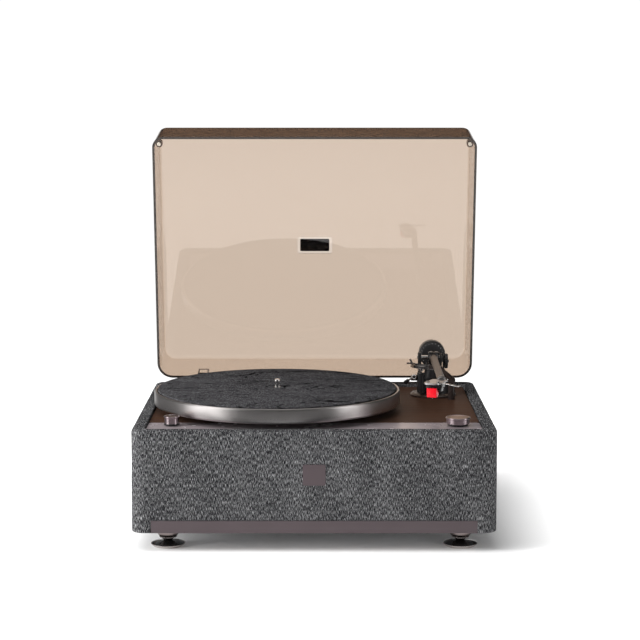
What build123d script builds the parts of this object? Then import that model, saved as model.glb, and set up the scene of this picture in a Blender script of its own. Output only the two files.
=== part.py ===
from build123d import *
import math
import os

os.makedirs("parts", exist_ok=True)

# Belt-drive record player in a fabric-covered box, hinged clear dust cover open.
# Millimetres. While it is drawn, X = 0 is the box's middle, Y = 0 lies 175 behind the
# front face and Z = 0 is the top of the box's rim. Every piece is shifted at the end so
# that Z = 0 is the surface it stands on and X = Y = 0 is the middle of its footprint.

# ---------------------------------------------------------------- driving dimensions
BOX_W = 420.0            # box, outside of the fabric
BOX_FRONT = -175.0
BOX_BACK = 180.0
BOX_H = 119.0
BOX_R = 15.0             # upright corners
FABRIC_T = 1.2
RIM_W = 15.0             # rim at the sides and front
RIM_BACK_Y = 153.0       # inner edge of the back rim
STAND_H = 141.0          # rim top above the floor
DECK_TOP = -3.0
DECK_T = 4.0
SEAM_Y = -106.0          # between the main deck and the control strip

PLATTER_X, PLATTER_Y = -45.5, -11.5
PLATTER_R = 150.0
MAT_R = 146.0
MAT_TOP = 24.0
SPINDLE_R = 3.6
SHAFT_R = 4.0
RING_R = 92.0            # drive ring under the platter
PULLEY_R = 5.8
MOTOR_D = 114.0          # platter axis to motor axis
MOTOR_X = PLATTER_X - MOTOR_D * math.sin(math.radians(45))
MOTOR_Y = PLATTER_Y + MOTOR_D * math.cos(math.radians(45))

ARM_X, ARM_Y = 151.5, 90.0   # tonearm pivot
ARM_Z = 46.0                 # height of its level axle
ARM_TILT = 1.0               # degrees up towards the head
ARM_TURN = 0.87              # degrees towards the platter
TUBE_END = 207.0
OFFSET = 22.0                # headshell offset angle
CLEAR = 0.05                 # radial clearance of every turning or sliding fit

LID_W, LID_FRONT, LID_BACK = 412.4, -166.5, 156.5
LID_H, LID_T, LID_RIM = 72.0, 3.0, 3.3
HINGE_X, HINGE_Y, HINGE_Z = 147.0, 158.0, 8.5
LID_OPEN = 79.6

KNOB_V = (167.4, -125.4)     # volume
KNOB_S = (-166.1, -124.5)    # speed
FOOT_X, FOOT_F, FOOT_B = 170.0, -140.0, 145.0

PARTS = {}


# ---------------------------------------------------------------- drawing helpers
def box(x0, x1, y0, y1, z0, z1):
    return Pos((x0 + x1) / 2, (y0 + y1) / 2, (z0 + z1) / 2) * Box(x1 - x0, y1 - y0, z1 - z0)


def cyl(x, y, r, z0, z1):
    return Pos(x, y, (z0 + z1) / 2) * Cylinder(r, z1 - z0)


def cylx(y, z, r, x0, x1):
    return Pos((x0 + x1) / 2, y, z) * Rot(0, 90, 0) * Cylinder(r, x1 - x0)


def cyly(x, z, r, y0, y1):
    return Pos(x, (y0 + y1) / 2, z) * Rot(90, 0, 0) * Cylinder(r, y1 - y0)


def turned(points, x=0.0, y=0.0):
    """Turned piece: (radius, height) points about an upright axis at x, y."""
    face = make_face(Polyline(*[(r, 0, z) for r, z in points], close=True))
    return Pos(x, y, 0) * revolve(face, Axis.Z)


def turned_y(points, x=0.0, z=0.0):
    """Turned piece about an axis along Y: (radius, y) points."""
    face = make_face(Polyline(*[(r, y, 0) for r, y in points], close=True))
    return Pos(x, 0, z) * revolve(face, Axis.Y)


def slab(x0, x1, y0, y1, z0, z1, r):
    face = Pos((x0 + x1) / 2, (y0 + y1) / 2, z0) * RectangleRounded(x1 - x0, y1 - y0, r)
    return extrude(face, z1 - z0)


def prism(points, z0, z1):
    face = make_face(Polyline(*[(x, y, z0) for x, y in points], close=True))
    return extrude(face, z1 - z0, dir=(0, 0, 1))


def top_edges(part, z):
    return part.edges().filter_by(lambda e: abs(e.bounding_box().min.Z - z) < 1e-4 and abs(e.bounding_box().max.Z - z) < 1e-4)


def add(name, *solids):
    PARTS[name] = list(solids)


# ---------------------------------------------------------------- box
HALF = BOX_W / 2
C0 = HALF - FABRIC_T
IN_X = HALF - RIM_W                     # inside of the fabric lining, 195
WALL_X = IN_X + FABRIC_T                # inside of the board, 196.2
IN_FRONT = BOX_FRONT + RIM_W            # -160
WALL_FRONT = IN_FRONT - FABRIC_T
WALL_BACK = RIM_BACK_Y + FABRIC_T
LOW_BACK = 166.2
SPK_X, SPK_Z = 105.0, -62.0
PLINTH_X, PLINTH_TOP = 187.0, -104.0

carcass = slab(-C0, C0, BOX_FRONT + FABRIC_T, BOX_BACK - FABRIC_T, -BOX_H + FABRIC_T, -FABRIC_T, BOX_R - FABRIC_T)
carcass = fillet(top_edges(carcass, -FABRIC_T), 1.8)
carcass -= slab(-WALL_X, WALL_X, WALL_FRONT, WALL_BACK, -9, 5, 6)
carcass -= box(-WALL_X, WALL_X, WALL_FRONT, WALL_BACK, -130, -8.5)
carcass -= box(-WALL_X, WALL_X, 100, LOW_BACK, -130, -25)
for sx in (-1, 1):
    carcass -= cyly(sx * SPK_X, SPK_Z, 39, BOX_FRONT - 1, WALL_FRONT + 1)
carcass -= box(-PLINTH_X, PLINTH_X, BOX_FRONT - 1, -168, -130, PLINTH_TOP)
JX0, JX1, JZ0, JZ1 = -75.0, 75.0, -98.0, -68.0
carcass -= box(JX0 + 7, JX1 - 7, 160, 185, JZ0 + 4, JZ1 - 4)
carcass -= box(JX0, JX1, BOX_BACK - 2.4, 185, JZ0, JZ1)
add("cabinet_carcass", carcass)

outer = slab(-HALF, HALF, BOX_FRONT, BOX_BACK, -BOX_H, 0, BOX_R)
outer = fillet(top_edges(outer, 0), 3.0)

skin_full = slab(-C0, C0, BOX_FRONT + FABRIC_T, BOX_BACK - FABRIC_T, -BOX_H + FABRIC_T, -FABRIC_T, BOX_R - FABRIC_T)
skin_full = fillet(top_edges(skin_full, -FABRIC_T), 1.8)
fabric = outer - skin_full
fabric -= slab(-IN_X, IN_X, IN_FRONT, RIM_BACK_Y, -20, 5, 5)
fabric -= box(-WALL_X, WALL_X, WALL_FRONT, LOW_BACK, -130, -100)
lining = slab(-WALL_X, WALL_X, WALL_FRONT, WALL_BACK, -8, -FABRIC_T, 6) - slab(-IN_X, IN_X, IN_FRONT, RIM_BACK_Y, -20, 5, 5)
fabric += lining
fabric -= box(-PLINTH_X, PLINTH_X, BOX_FRONT - 1, -168, -130, PLINTH_TOP)
fabric -= box(-13.05, 13.05, BOX_FRONT - 1, BOX_FRONT + FABRIC_T + 0.5, -63.3, -38.9)
fabric -= box(JX0, JX1, BOX_BACK - 2.4, 185, JZ0, JZ1)
add("fabric_wrap", fabric)

base = box(-WALL_X + 0.2, WALL_X - 0.2, WALL_FRONT + 0.2, LOW_BACK - 0.2, -117, -111)
FEET = [(sx * FOOT_X, y) for sx in (-1, 1) for y in (FOOT_F, FOOT_B)]
for fx, fy in FEET:
    base -= cyl(fx, fy, 4, -120, -100)
SCREWS = [(sx * 187.5, y) for sx in (-1, 1) for y in (-152.0, 157.0)]
for fx, fy in SCREWS:
    base -= cyl(fx, fy, 1.5, -120, -100)
add("base_panel", base)

plinth = box(-PLINTH_X + 0.15, PLINTH_X - 0.15, BOX_FRONT + 0.3, -168, -BOX_H + 0.2, PLINTH_TOP - 0.15)
plinth = fillet(plinth.edges().filter_by(Axis.X).filter_by(lambda e: e.center().Y < BOX_FRONT + 1), 0.6)
add("front_plinth", plinth)

badge = box(-13, 13, -175.6, BOX_FRONT + FABRIC_T, -63.25, -38.95)
badge = fillet(badge.edges().filter_by(Axis.Y), 2.0)
badge = fillet(badge.edges().filter_by(lambda e: e.center().Y < -175.5), 0.3)
add("badge_plate", badge)

corner_blocks = []
for sx in (-1, 1):
    for y0, y1 in ((WALL_FRONT, WALL_FRONT + 14), (WALL_BACK - 14, WALL_BACK)):
        x0, x1 = sorted((sx * (WALL_X - 14), sx * WALL_X))
        corner_blocks.append(box(x0, x1, y0, y1, -33, -19))
    for y, (y0, y1) in zip((-152.0, 157.0), ((WALL_FRONT, WALL_FRONT + 18), (LOW_BACK - 18, LOW_BACK))):
        x0, x1 = sorted((sx * (WALL_X - 17), sx * WALL_X))
        corner_blocks.append(box(x0, x1, y0, y1, -111, -93) - cyl(sx * 187.5, y, 1.5, -112, -99))
add("corner_blocks", *corner_blocks)

# ---------------------------------------------------------------- deck
DX = IN_X - 0.8
deck = slab(-DX, DX, SEAM_Y + 0.3, RIM_BACK_Y - 0.8, DECK_TOP - DECK_T, DECK_TOP, 4)
deck -= cyl(PLATTER_X, PLATTER_Y, 15, -20, 5)
deck -= cyl(MOTOR_X, MOTOR_Y, 9, -20, 5)
deck -= cyl(ARM_X, ARM_Y, 9.7, -20, 5)
deck = fillet(top_edges(deck, DECK_TOP).filter_by(lambda e: e.length > 80), 0.4)
add("deck_panel", deck)
strip = slab(-DX, DX, IN_FRONT + 0.8, SEAM_Y - 0.3, DECK_TOP - DECK_T, DECK_TOP, 4)
for kx, ky in (KNOB_V, KNOB_S):
    strip -= cyl(kx, ky, 3.6, -20, 5)
strip = fillet(top_edges(strip, DECK_TOP).filter_by(lambda e: e.length > 30), 0.4)
add("control_strip", strip)
SUB_T0, SUB_T1 = -19.0, -7.0
sub = box(-194, 194, -158, 151, SUB_T0, SUB_T1)
sub -= cyl(PLATTER_X, PLATTER_Y, 11.0, -30, 5)
sub -= cyl(MOTOR_X, MOTOR_Y, 9, -30, 5)
sub -= cyl(ARM_X, ARM_Y, 9.7, -30, 5)
for kx, ky in (KNOB_V, KNOB_S):
    sub -= box(kx - 12, kx + 12, ky - 12, ky + 12, -30, 5)
add("sub_deck", sub)

# ---------------------------------------------------------------- main bearing and platter
housing = turned([(7.5, -5.2), (14.5, -5.2), (14.5, -6.9), (11.0, -6.9), (11.0, -62), (0, -62), (0, -57), (7.5, -57)], PLATTER_X, PLATTER_Y)
add("bearing_housing", housing)
bush = turned([(SHAFT_R + CLEAR, -5.2), (7.5, -5.2), (7.5, -50), (SHAFT_R + CLEAR, -50)], PLATTER_X, PLATTER_Y)
add("bearing_bush", bush)
ball = Pos(PLATTER_X, PLATTER_Y, -54.55) * Sphere(2.45)
add("thrust_ball", ball)
spindle = turned([(0, -52), (3.6, -52), (SHAFT_R, -51.4), (SHAFT_R, MAT_TOP), (SPINDLE_R, MAT_TOP), (SPINDLE_R, 32.0), (3.0, 33.4), (1.6, 34.2), (0, 34.4)], PLATTER_X, PLATTER_Y)
add("spindle", spindle)
platter = turned([
    (SHAFT_R, 4.2), (13, 4.2), (13, 13), (17, 15.8), (RING_R - 4, 15.8), (RING_R - 4, 5.2), (RING_R, 5.2), (RING_R, 15.8),
    (138, 15.8), (141, 13), (141, 5.4), (141.6, 4.8), (147.6, 4.8), (149.4, 5.6), (PLATTER_R, 7.2),
    (PLATTER_R, 20.3), (149.0, 22.3), (147.4, 22.3), (146.6, 21.6), (146.4, 20.8), (SHAFT_R, 20.8)], PLATTER_X, PLATTER_Y)
add("platter", platter)
mat = turned([(SHAFT_R + 0.2, 20.8), (MAT_R, 20.8), (MAT_R, 23.4), (MAT_R - 0.6, MAT_TOP), (SHAFT_R + 0.2, MAT_TOP)], PLATTER_X, PLATTER_Y)
add("platter_mat", mat)

# ---------------------------------------------------------------- motor, pulley and belt
MSX, MSY = MOTOR_X, MOTOR_Y
motor = turned([(0, -46), (17, -46), (18, -45), (18, -22.4), (17.2, -21.6), (6, -21.6), (6, -20.4), (1.3, -20.4), (1.3, -32), (0, -32)], MSX, MSY)
plate = slab(MSX - 26, MSX + 26, MSY - 20, MSY + 20, -20.4, SUB_T0, 4) - cyl(MSX, MSY, 6, -25, -15)
can = motor + (slab(MSX - 26, MSX + 26, MSY - 20, MSY + 20, -21.6, SUB_T0, 4) - cyl(MSX, MSY, 6, -25, -15))
add("motor_can", can)
add("motor_shaft", cyl(MSX, MSY, 1.25, -31.5, 14.0))
pulley = turned([(1.25, 5.0), (6.9, 5.0), (6.9, 6.0), (PULLEY_R, 6.8), (PULLEY_R, 12.6), (6.9, 13.4), (6.9, 14.2), (1.25, 14.2)], MSX, MSY)
add("motor_pulley", pulley)


def loop(r1, r2, z0, z1):
    """Closed loop round the drive ring and the pulley, as one outline."""
    ang = math.radians(135)
    beta = math.acos((r1 - r2) / MOTOR_D)
    pts = []
    for cx, cy, r, s in ((PLATTER_X, PLATTER_Y, r1, 1), (MSX, MSY, r2, 1), (MSX, MSY, r2, -1), (PLATTER_X, PLATTER_Y, r1, -1)):
        pts.append((cx + r * math.cos(ang + s * beta), cy + r * math.sin(ang + s * beta)))
    return cyl(PLATTER_X, PLATTER_Y, r1, z0, z1) + cyl(MSX, MSY, r2, z0, z1) + prism(pts, z0, z1)


belt = loop(RING_R + 0.95, PULLEY_R + 0.95, 7.6, 11.8) - loop(RING_R + 0.35, PULLEY_R + 0.35, 7.0, 12.4)
add("drive_belt", belt)

# ---------------------------------------------------------------- electronics, speakers, sockets
board = box(-70, 70, 88, 158, -104, -102.4)
for bx in (-60, 60):
    for by in (96, 150):
        board += cyl(bx, by, 3, -111, -104)
board += box(-30, 30, 92, 96, -102.4, -72)
for i in range(6):
    board += box(-28 + i * 10, -25 + i * 10, 96, 106, -102.4, -72)
for bx, by, r, h in ((45, 112, 6, 18), (58, 128, 6, 18), (-45, 110, 5, 12), (-52, 130, 5, 12), (20, 125, 7, 16)):
    board += cyl(bx, by, r, -102.4, -102.4 + h)
board += box(-22, 2, 116, 140, -102.4, -99)
add("amplifier_board", board)


def pot(kx, ky):
    body = box(kx - 8, kx + 8, ky - 8, ky + 8, -17, -7.0) + cyl(kx, ky, 3.6, -7.0, -2.4)
    return body - cyl(kx, ky, 2.5 + CLEAR, -13, 0)


add("volume_pot", pot(*KNOB_V))
add("selector_switch", pot(*KNOB_S))

jack_plate = box(JX0 + 0.1, JX1 - 0.1, BOX_BACK - 2.4, BOX_BACK - 0.2, JZ0 + 0.1, JZ1 - 0.1)
RCA = (-52.0, -34.0)
AUX_X, DC_X, JZ = 0.0, 48.0, -83.0
for rx in RCA:
    jack_plate -= cyly(rx, JZ, 4.6, 170, 190)
jack_plate -= cyly(AUX_X, JZ, 4.0, 170, 190)
jack_plate -= cyly(DC_X, JZ, 5.0, 170, 190)
add("rear_jack_plate", jack_plate)
rca = []
for rx in RCA:
    shell = cyly(rx, JZ, 4.15, 179.8, 189.0) + cyly(rx, JZ, 4.6, 177.6, 179.8) + box(rx - 7, rx + 7, 167, 177.6, JZ - 7, JZ + 7)
    rca.append(shell - cyly(rx, JZ, 1.65, 175, 190))
add("rca_jacks", *rca)
aux = cyly(AUX_X, JZ, 4.0, 177.6, 181.0) + box(-6, 6, 164, 177.6, JZ - 5, JZ + 5)
add("aux_jack", aux - cyly(AUX_X, JZ, 1.8, 167, 182))
dc = cyly(DC_X, JZ, 5.0, 177.6, 180.6) + box(DC_X - 7, DC_X + 7, 164, 177.6, JZ - 6, JZ + 6)
dc = dc - cyly(DC_X, JZ, 2.9, 170, 182) + cyly(DC_X, JZ, 1.05, 169, 179)
add("dc_inlet", dc)

frames, cones = [], []
for sx in (-1, 1):
    f = turned_y([(34, WALL_FRONT), (43, WALL_FRONT), (43, WALL_FRONT + 2), (36, WALL_FRONT + 2), (22, -140), (28, -140), (28, -122), (0, -122), (0, -139), (19, -141), (33, WALL_FRONT + 1.5), (34, WALL_FRONT + 1.5)], sx * SPK_X, SPK_Z)
    frames.append(f)
    cones.append(turned_y([(0, -146), (10, -147), (12, -144.5), (30, WALL_FRONT + 0.8), (33.6, WALL_FRONT - 2.2), (33.9, WALL_FRONT + 0.6), (30.4, WALL_FRONT + 2.0), (12, -142.8), (0, -143.8)], sx * SPK_X, SPK_Z))
add("speaker_frames", *frames)
add("speaker_cones", *cones)

# ---------------------------------------------------------------- feet
fcones, frings, fdiscs = [], [], []
for fx, fy in FEET:
    fcones.append(turned([(0, -134.2), (4.4, -134.2), (5.4, -133.6), (8.6, -131.0), (8.2, -131.0), (8.2, -129.8), (10.2, -129.8), (12.0, -127.6), (12.6, -126.2), (12.6, -117), (4, -117), (4, -111.2), (0, -111.2)], fx, fy))
    frings.append(turned([(8.25, -130.95), (9.9, -130.95), (10.4, -130.4), (9.9, -129.85), (8.25, -129.85)], fx, fy))
    fdiscs.append(turned([(0, -141), (17.5, -141), (18.1, -140.2), (20, -138.4), (20, -137.9), (14.0, -136.2), (7.0, -134.9), (4.4, -134.2), (0, -134.2)], fx, fy))
add("foot_cones", *fcones)
add("foot_rings", *frings)
add("foot_discs", *fdiscs)
add("base_screws", *[turned([(0, -118.6), (2.6, -118.6), (3.2, -117.8), (3.2, -117), (1.5, -117), (1.5, -100.5), (0, -99.5)], x, y) for x, y in SCREWS])

# ---------------------------------------------------------------- knobs
def knob(x, y, r, h, body, foot):
    return turned([(0, -12.6), (2.5, -12.6), (2.5, 0.6), (r - 5.5, 0.6), (r - 5.5, -2.0), (foot - 0.5, -2.0), (foot, -1.5), (foot, -0.6), (body, 0.2),
                   (body, h - 1.9), (r, h - 1.2), (r, h - 0.6), (r - 0.35, h), (r - 1.3, h), (r - 1.7, h - 0.35), (0, h - 0.35)], x, y)


add("volume_knob", knob(*KNOB_V, 14.4, 7.2, 13.7, 12.2))
add("selector_knob", knob(*KNOB_S, 9.3, 8.5, 8.4, 8.8))

# ---------------------------------------------------------------- tonearm, fixed pieces
add("tonearm_flange", turned([(9.6, -3), (29, -3), (29, -1.2), (27.6, 0.2), (25.5, 1.0), (9.6, 1.0)], ARM_X, ARM_Y))
add("tonearm_pillar", turned([(0, -24), (9.5, -24), (9.5, 1.0), (20.3, 1.0), (20.3, 15.0), (19.6, 16.0), (SHAFT_R + CLEAR, 16.0), (SHAFT_R + CLEAR, -10), (0, -10)], ARM_X, ARM_Y))

rest = cyl(172.8, 56.0, 4.3, DECK_TOP, 19.5) + cyl(172.8, 56.0, 3.2, 19.5, 23.0)
strut = Plane.XZ.offset(-48.0) * make_face(Polyline((168.6, 19.0), (177.0, 19.0), (177.0, 24.0), (172.5, 28.2), (163.2, 36.2), (161.5, 38.6), (157.5, 40.6), (143.5, 40.6), (143.5, 36.6), (155.5, 36.6), (158.0, 32.4), (168.6, 22.8), close=True))
strut = extrude(strut, 6.0, dir=(0, 1, 0))
strut = strut + box(168.6, 177.0, 48.0, 57.0, 19.0, 23.0)
rest = rest + strut + box(143.5, 145.6, 48.0, 54.0, 38.0, 41.2)
rest += cyly(160.9, 36.0, 1.2, 44.0, 48.5)
add("arm_rest", rest)

ang = math.atan2(22.0, 17.0)
TX, TY = ARM_X - 17.0, ARM_Y - 22.0
ux, uy = (TX - ARM_X) / 27.8, (TY - ARM_Y) / 27.8
link = prism([(ARM_X + ux * 15 - uy * 4.2, ARM_Y + uy * 15 + ux * 4.2), (TX - uy * 4.2, TY + ux * 4.2),
              (TX + uy * 4.2, TY - ux * 4.2), (ARM_X + ux * 15 + uy * 4.2, ARM_Y + uy * 15 - ux * 4.2)], 5, 13)
cue = cyl(TX, TY, 4.7, 5, 28.8) + link
cue -= cyl(ARM_X, ARM_Y, 20.3, 0, 20)
cue += box(122.5, TX, 70.2, 73.2, 18.5, 25.5) + cyly(126, 24, 1.5, 63.6, 71)
cue -= cyl(TX, TY, 1.7 + CLEAR, 8.5, 30)
add("cue_housing", cue)

bracket = box(164.0, 165.6, 84, 96, 16, 50) + box(164.0, 169.5, 84.5, 95.5, 16, 18.4) + cylx(90, 40.8, 2.0, 164.5, 171.4)
bracket = fillet(bracket.edges().filter_by(Axis.X).filter_by(lambda e: e.center().Z > 49), 4.0)
add("antiskate_bracket", bracket)

# ---------------------------------------------------------------- tonearm, moving pieces
dial = cylx(90, 40.8, 9.5, 166.3, 170.1)
dial = fillet(dial.edges().filter_by(GeomType.CIRCLE).filter_by(lambda e: e.radius > 9 and e.center().X > 168), 0.8)
dial -= cylx(90, 40.8, 2.0 + CLEAR, 160, 175)
for i in range(10):
    a = math.radians(36 * i + 18)
    dial -= cylx(90 + 10.5 * math.cos(a), 40.8 + 10.5 * math.sin(a), 1.6, 160, 175)
add("antiskate_dial", dial)

yoke = cyl(ARM_X, ARM_Y, SHAFT_R, -9.5, 17) + turned([(0, 16.5), (11.5, 16.5), (12.1, 17.1), (12.1, 20.5), (11.6, 21.4), (10.9, 31.5), (10.0, 33.0), (0, 33.0)], ARM_X, ARM_Y)
yoke += box(ARM_X - 19.5, ARM_X, ARM_Y - 5, ARM_Y + 5, 16.5, 20)
left = box(ARM_X - 19.5, ARM_X - 15.3, ARM_Y - 5, ARM_Y + 5, 16.5, 52)
left = fillet(left.edges().filter_by(Axis.X).filter_by(lambda e: e.center().Z > 51), 4.0)
right = box(ARM_X + 8.4, ARM_X + 11.0, ARM_Y - 4, ARM_Y + 4, 16.5, 50.5)
right = fillet(right.edges().filter_by(Axis.X).filter_by(lambda e: e.center().Z > 50), 3.2)
yoke += left + right
yoke -= cylx(ARM_Y, ARM_Z, 2.25 + CLEAR, ARM_X - 25, ARM_X + 15)
add("tonearm_yoke", yoke)
add("pivot_axle", cylx(ARM_Y, ARM_Z, 2.25, ARM_X - 20.6, ARM_X + 11.6))

ARM = Pos(ARM_X, ARM_Y, ARM_Z) * Rot(0, 0, -ARM_TURN) * Rot(-ARM_TILT, 0, 0)


def arm(part):
    return ARM * part


tube = turned_y([(3.4, -TUBE_END), (4.4, -TUBE_END), (4.8, -8), (3.4, -8)])
stub = turned_y([(0, 6), (3.5, 6), (3.5, 55), (2.9, 55.8), (0, 55.8)])
block = box(ARM_X - 7, ARM_X + 7, ARM_Y - 11, ARM_Y + 10, 38.5, 53.5)
block = fillet(block.edges(), 1.6)
block -= cylx(ARM_Y, ARM_Z, 2.25, ARM_X - 25, ARM_X + 25)
block -= arm(turned_y([(0, -30), (4.85, -30), (4.85, -7.9), (0, -7.9)]))
block -= arm(turned_y([(0, 5.9), (3.5, 5.9), (3.5, 30), (0, 30)]))
add("pivot_block", block)
add("arm_tube", arm(tube))
add("rear_stub", arm(stub))
weight = turned_y([(3.5 + CLEAR, 28.6), (13.0, 28.6), (16.4, 29.2), (17.0, 30.0), (17.0, 47.6), (16.2, 48.6), (3.5 + CLEAR, 48.6)])
add("counterweight", arm(weight))
ringdial = turned_y([(3.5 + CLEAR, 24.8), (12.6, 24.8), (15.2, 25.8), (15.6, 26.6), (15.6, 28.2), (3.5 + CLEAR, 28.2)])
add("force_dial", arm(ringdial))

# headshell frame: origin at the tube's end, turned by the offset angle
HEAD = ARM * Pos(0, -TUBE_END, 0) * Rot(0, 0, -OFFSET)
shell = Pos(0, -20.5, 0) * Box(19, 35, 1.8)
shell = fillet(shell.edges().filter_by(Axis.Z).filter_by(lambda e: e.center().Y < -30), 5.0)
shell = fillet(shell.edges().filter_by(Axis.Z).filter_by(lambda e: e.center().Y > -10), 3.0)
for sx in (-6.35, 6.35):
    shell -= Pos(sx, -29, 0) * Cylinder(1.3, 6)
lift = Pos(11.0, -27, 0.1) * Box(4.4, 3.6, 1.2) + Pos(21.5, -27, -1.35) * Rot(0, 9, 0) * Box(18.6, 3.6, 1.2) + Pos(31.0, -27, -2.35) * Rot(0, -16, 0) * Box(2.6, 3.6, 1.2)
shell += lift
HS = HEAD * shell
collar = arm(turned_y([(0, -TUBE_END - 5.2), (3.9, -TUBE_END - 5.2), (3.9, -TUBE_END - 2.0), (5.4, -TUBE_END - 2.0), (5.4, -TUBE_END), (3.4, -TUBE_END), (3.4, -TUBE_END + 14), (0, -TUBE_END + 14)]))
add("headshell", HS + collar)
cart = Pos(0, -21, -3.6) * Box(16.2, 20, 5.4) + Pos(0, -19, -8.6) * Box(12.6, 15.5, 4.8)
for sx in (-6.35, 6.35):
    cart += Pos(sx, -29, 0) * Cylinder(1.25, 2.6) + Pos(sx, -29, 1.5) * Cylinder(2.2, 1.2)
add("cartridge", HEAD * cart)
sty = Pos(0, -31.0, -10.8) * Box(11.8, 7.6, 10.8) + Pos(0, -24.0, -13.3) * Box(7.5, 8, 4.4)
sty -= Pos(0, -25.9, -6.3) * Box(17, 10.2, 4)
sty = fillet(sty.edges().filter_by(Axis.Z).filter_by(lambda e: e.center().Y < -34), 1.0)
sty += Pos(0, -31.4, -17.0) * Cone(1.1, 0.3, 1.8, align=(Align.CENTER, Align.CENTER, Align.CENTER), rotation=(180, 0, 0))
add("stylus", HEAD * sty)

# cueing: lever on the housing's pin, curved lift bar on its own post
lever = cyly(126, 24, 3.3, 64, 69.7) - cyly(126, 24, 1.5 + CLEAR, 60, 72)
rod = Pos(126, 66.8, 24) * Rot(0, 148, 0) * (Pos(6.0, 0, 0) * Rot(0, 90, 0) * Cylinder(1.25, 6.4))
grip = Pos(126, 66.8, 24) * Rot(0, 148, 0) * (Pos(11.0, 0, 0) * Rot(0, 90, 0) * Cylinder(2.4, 6.6))
add("cue_lever", lever + rod + grip)


def sector(r0, r1, a0, a1, z0, z1):
    """Part of a ring about the arm's pivot; angles run from straight ahead towards the platter."""
    n = 18
    pts = [(ARM_X - r1 * math.sin(math.radians(a0 + (a1 - a0) * i / n)), ARM_Y - r1 * math.cos(math.radians(a0 + (a1 - a0) * i / n))) for i in range(n + 1)]
    pts += [(ARM_X - r0 * math.sin(math.radians(a1 - (a1 - a0) * i / n)), ARM_Y - r0 * math.cos(math.radians(a1 - (a1 - a0) * i / n))) for i in range(n + 1)]
    return prism(pts, z0, z1)


platform = sector(24.8, 30.2, -12, 76, 34.2, 37.6) + sector(26.4, 28.8, -10, 74, 37.6, 40.2)
platform += cyl(TX, TY, 1.7, 14.5, 35) + cyl(TX, TY, 3.2, 31.5, 34.4)
PX, PY = ARM_X - 27.6 * math.sin(math.radians(72)), ARM_Y - 27.6 * math.cos(math.radians(72))
platform += Pos(PX, PY, 36.5) * Rot(0, -24, 0) * (Pos(0, 0, 4.4) * Cylinder(1.2, 8.8))
platform += cylx(PY, 39.2, 1.1, 117.2, 126)
add("cue_platform", platform)

CLIP_A = -41.0                            # the clip's slope when open
clip = Plane.XZ.offset(1.4) * make_face(Polyline((0, -2.6), (16.2, -2.6), (16.2, -1.0), (9.6, -1.0), (9.0, -0.4), (9.0, 1.2), (8.3, 1.9), (0, 1.9), close=True))
clip = extrude(clip, 2.8, dir=(0, 1, 0))
clip = Pos(160.9, 45.8, 36.0) * Rot(0, -CLIP_A, 0) * clip + cyly(160.9, 36.0, 2.6, 44.4, 47.2)
clip -= cyly(160.9, 36.0, 1.2 + CLEAR, 43, 49)
add("arm_clip", clip)

# ---------------------------------------------------------------- dust cover
def tray(grow, z0, z1, r_front, r_back):
    w, l = LID_W - 2 * grow, (LID_BACK - LID_FRONT) - 2 * grow
    face = Pos(0, (LID_FRONT + LID_BACK) / 2, z0) * Rectangle(w, l)
    vs = face.vertices()
    mid = (LID_FRONT + LID_BACK) / 2
    face = fillet(vs.filter_by(lambda v: v.Y < mid), r_front)
    face = fillet(face.vertices().filter_by(lambda v: v.Y > mid + 60 and abs(v.X) > w / 2 - 0.01), r_back)
    return extrude(face, z1 - z0, taper=1.5)


outer_lid = tray(0, LID_RIM, LID_RIM + LID_H, 14, 20)
outer_lid = fillet(top_edges(outer_lid, LID_RIM + LID_H), 7.0)
inner_lid = tray(LID_T, LID_RIM - 0.001, LID_RIM + LID_H - LID_T, 11, 17)
inner_lid = fillet(top_edges(inner_lid, LID_RIM + LID_H - LID_T), 4.0)
lid = outer_lid - inner_lid
BUMP = [(sx * 197.2, -157.4) for sx in (-1, 1)]
for bx, by in BUMP:
    lid += cyl(bx, by, 4.4, LID_RIM, LID_RIM + 9) - cyl(bx, by, 2.4, LID_RIM - 1, LID_RIM + 8)
for sx in (-1, 1):
    lid -= box(sx * HINGE_X - 7, sx * HINGE_X + 7, 148, 165, 0, 14.5)          # room for the knuckles
    lid -= box(sx * HINGE_X - 7, sx * HINGE_X + 7, 154.1, 165, 14, 30) - box(sx * HINGE_X - 5.05, sx * HINGE_X + 5.05, 147, 166, 14.5, 28.1)
BADGE_Y = -5.0
lid -= slab(-22.9, 22.9, BADGE_Y - 11.3, BADGE_Y + 11.3, LID_RIM + LID_H - 1.0, LID_RIM + LID_H + 5, 2.5)


def opened(part):
    return part.rotate(Axis((0, HINGE_Y, HINGE_Z), (1, 0, 0)), -LID_OPEN)


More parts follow.
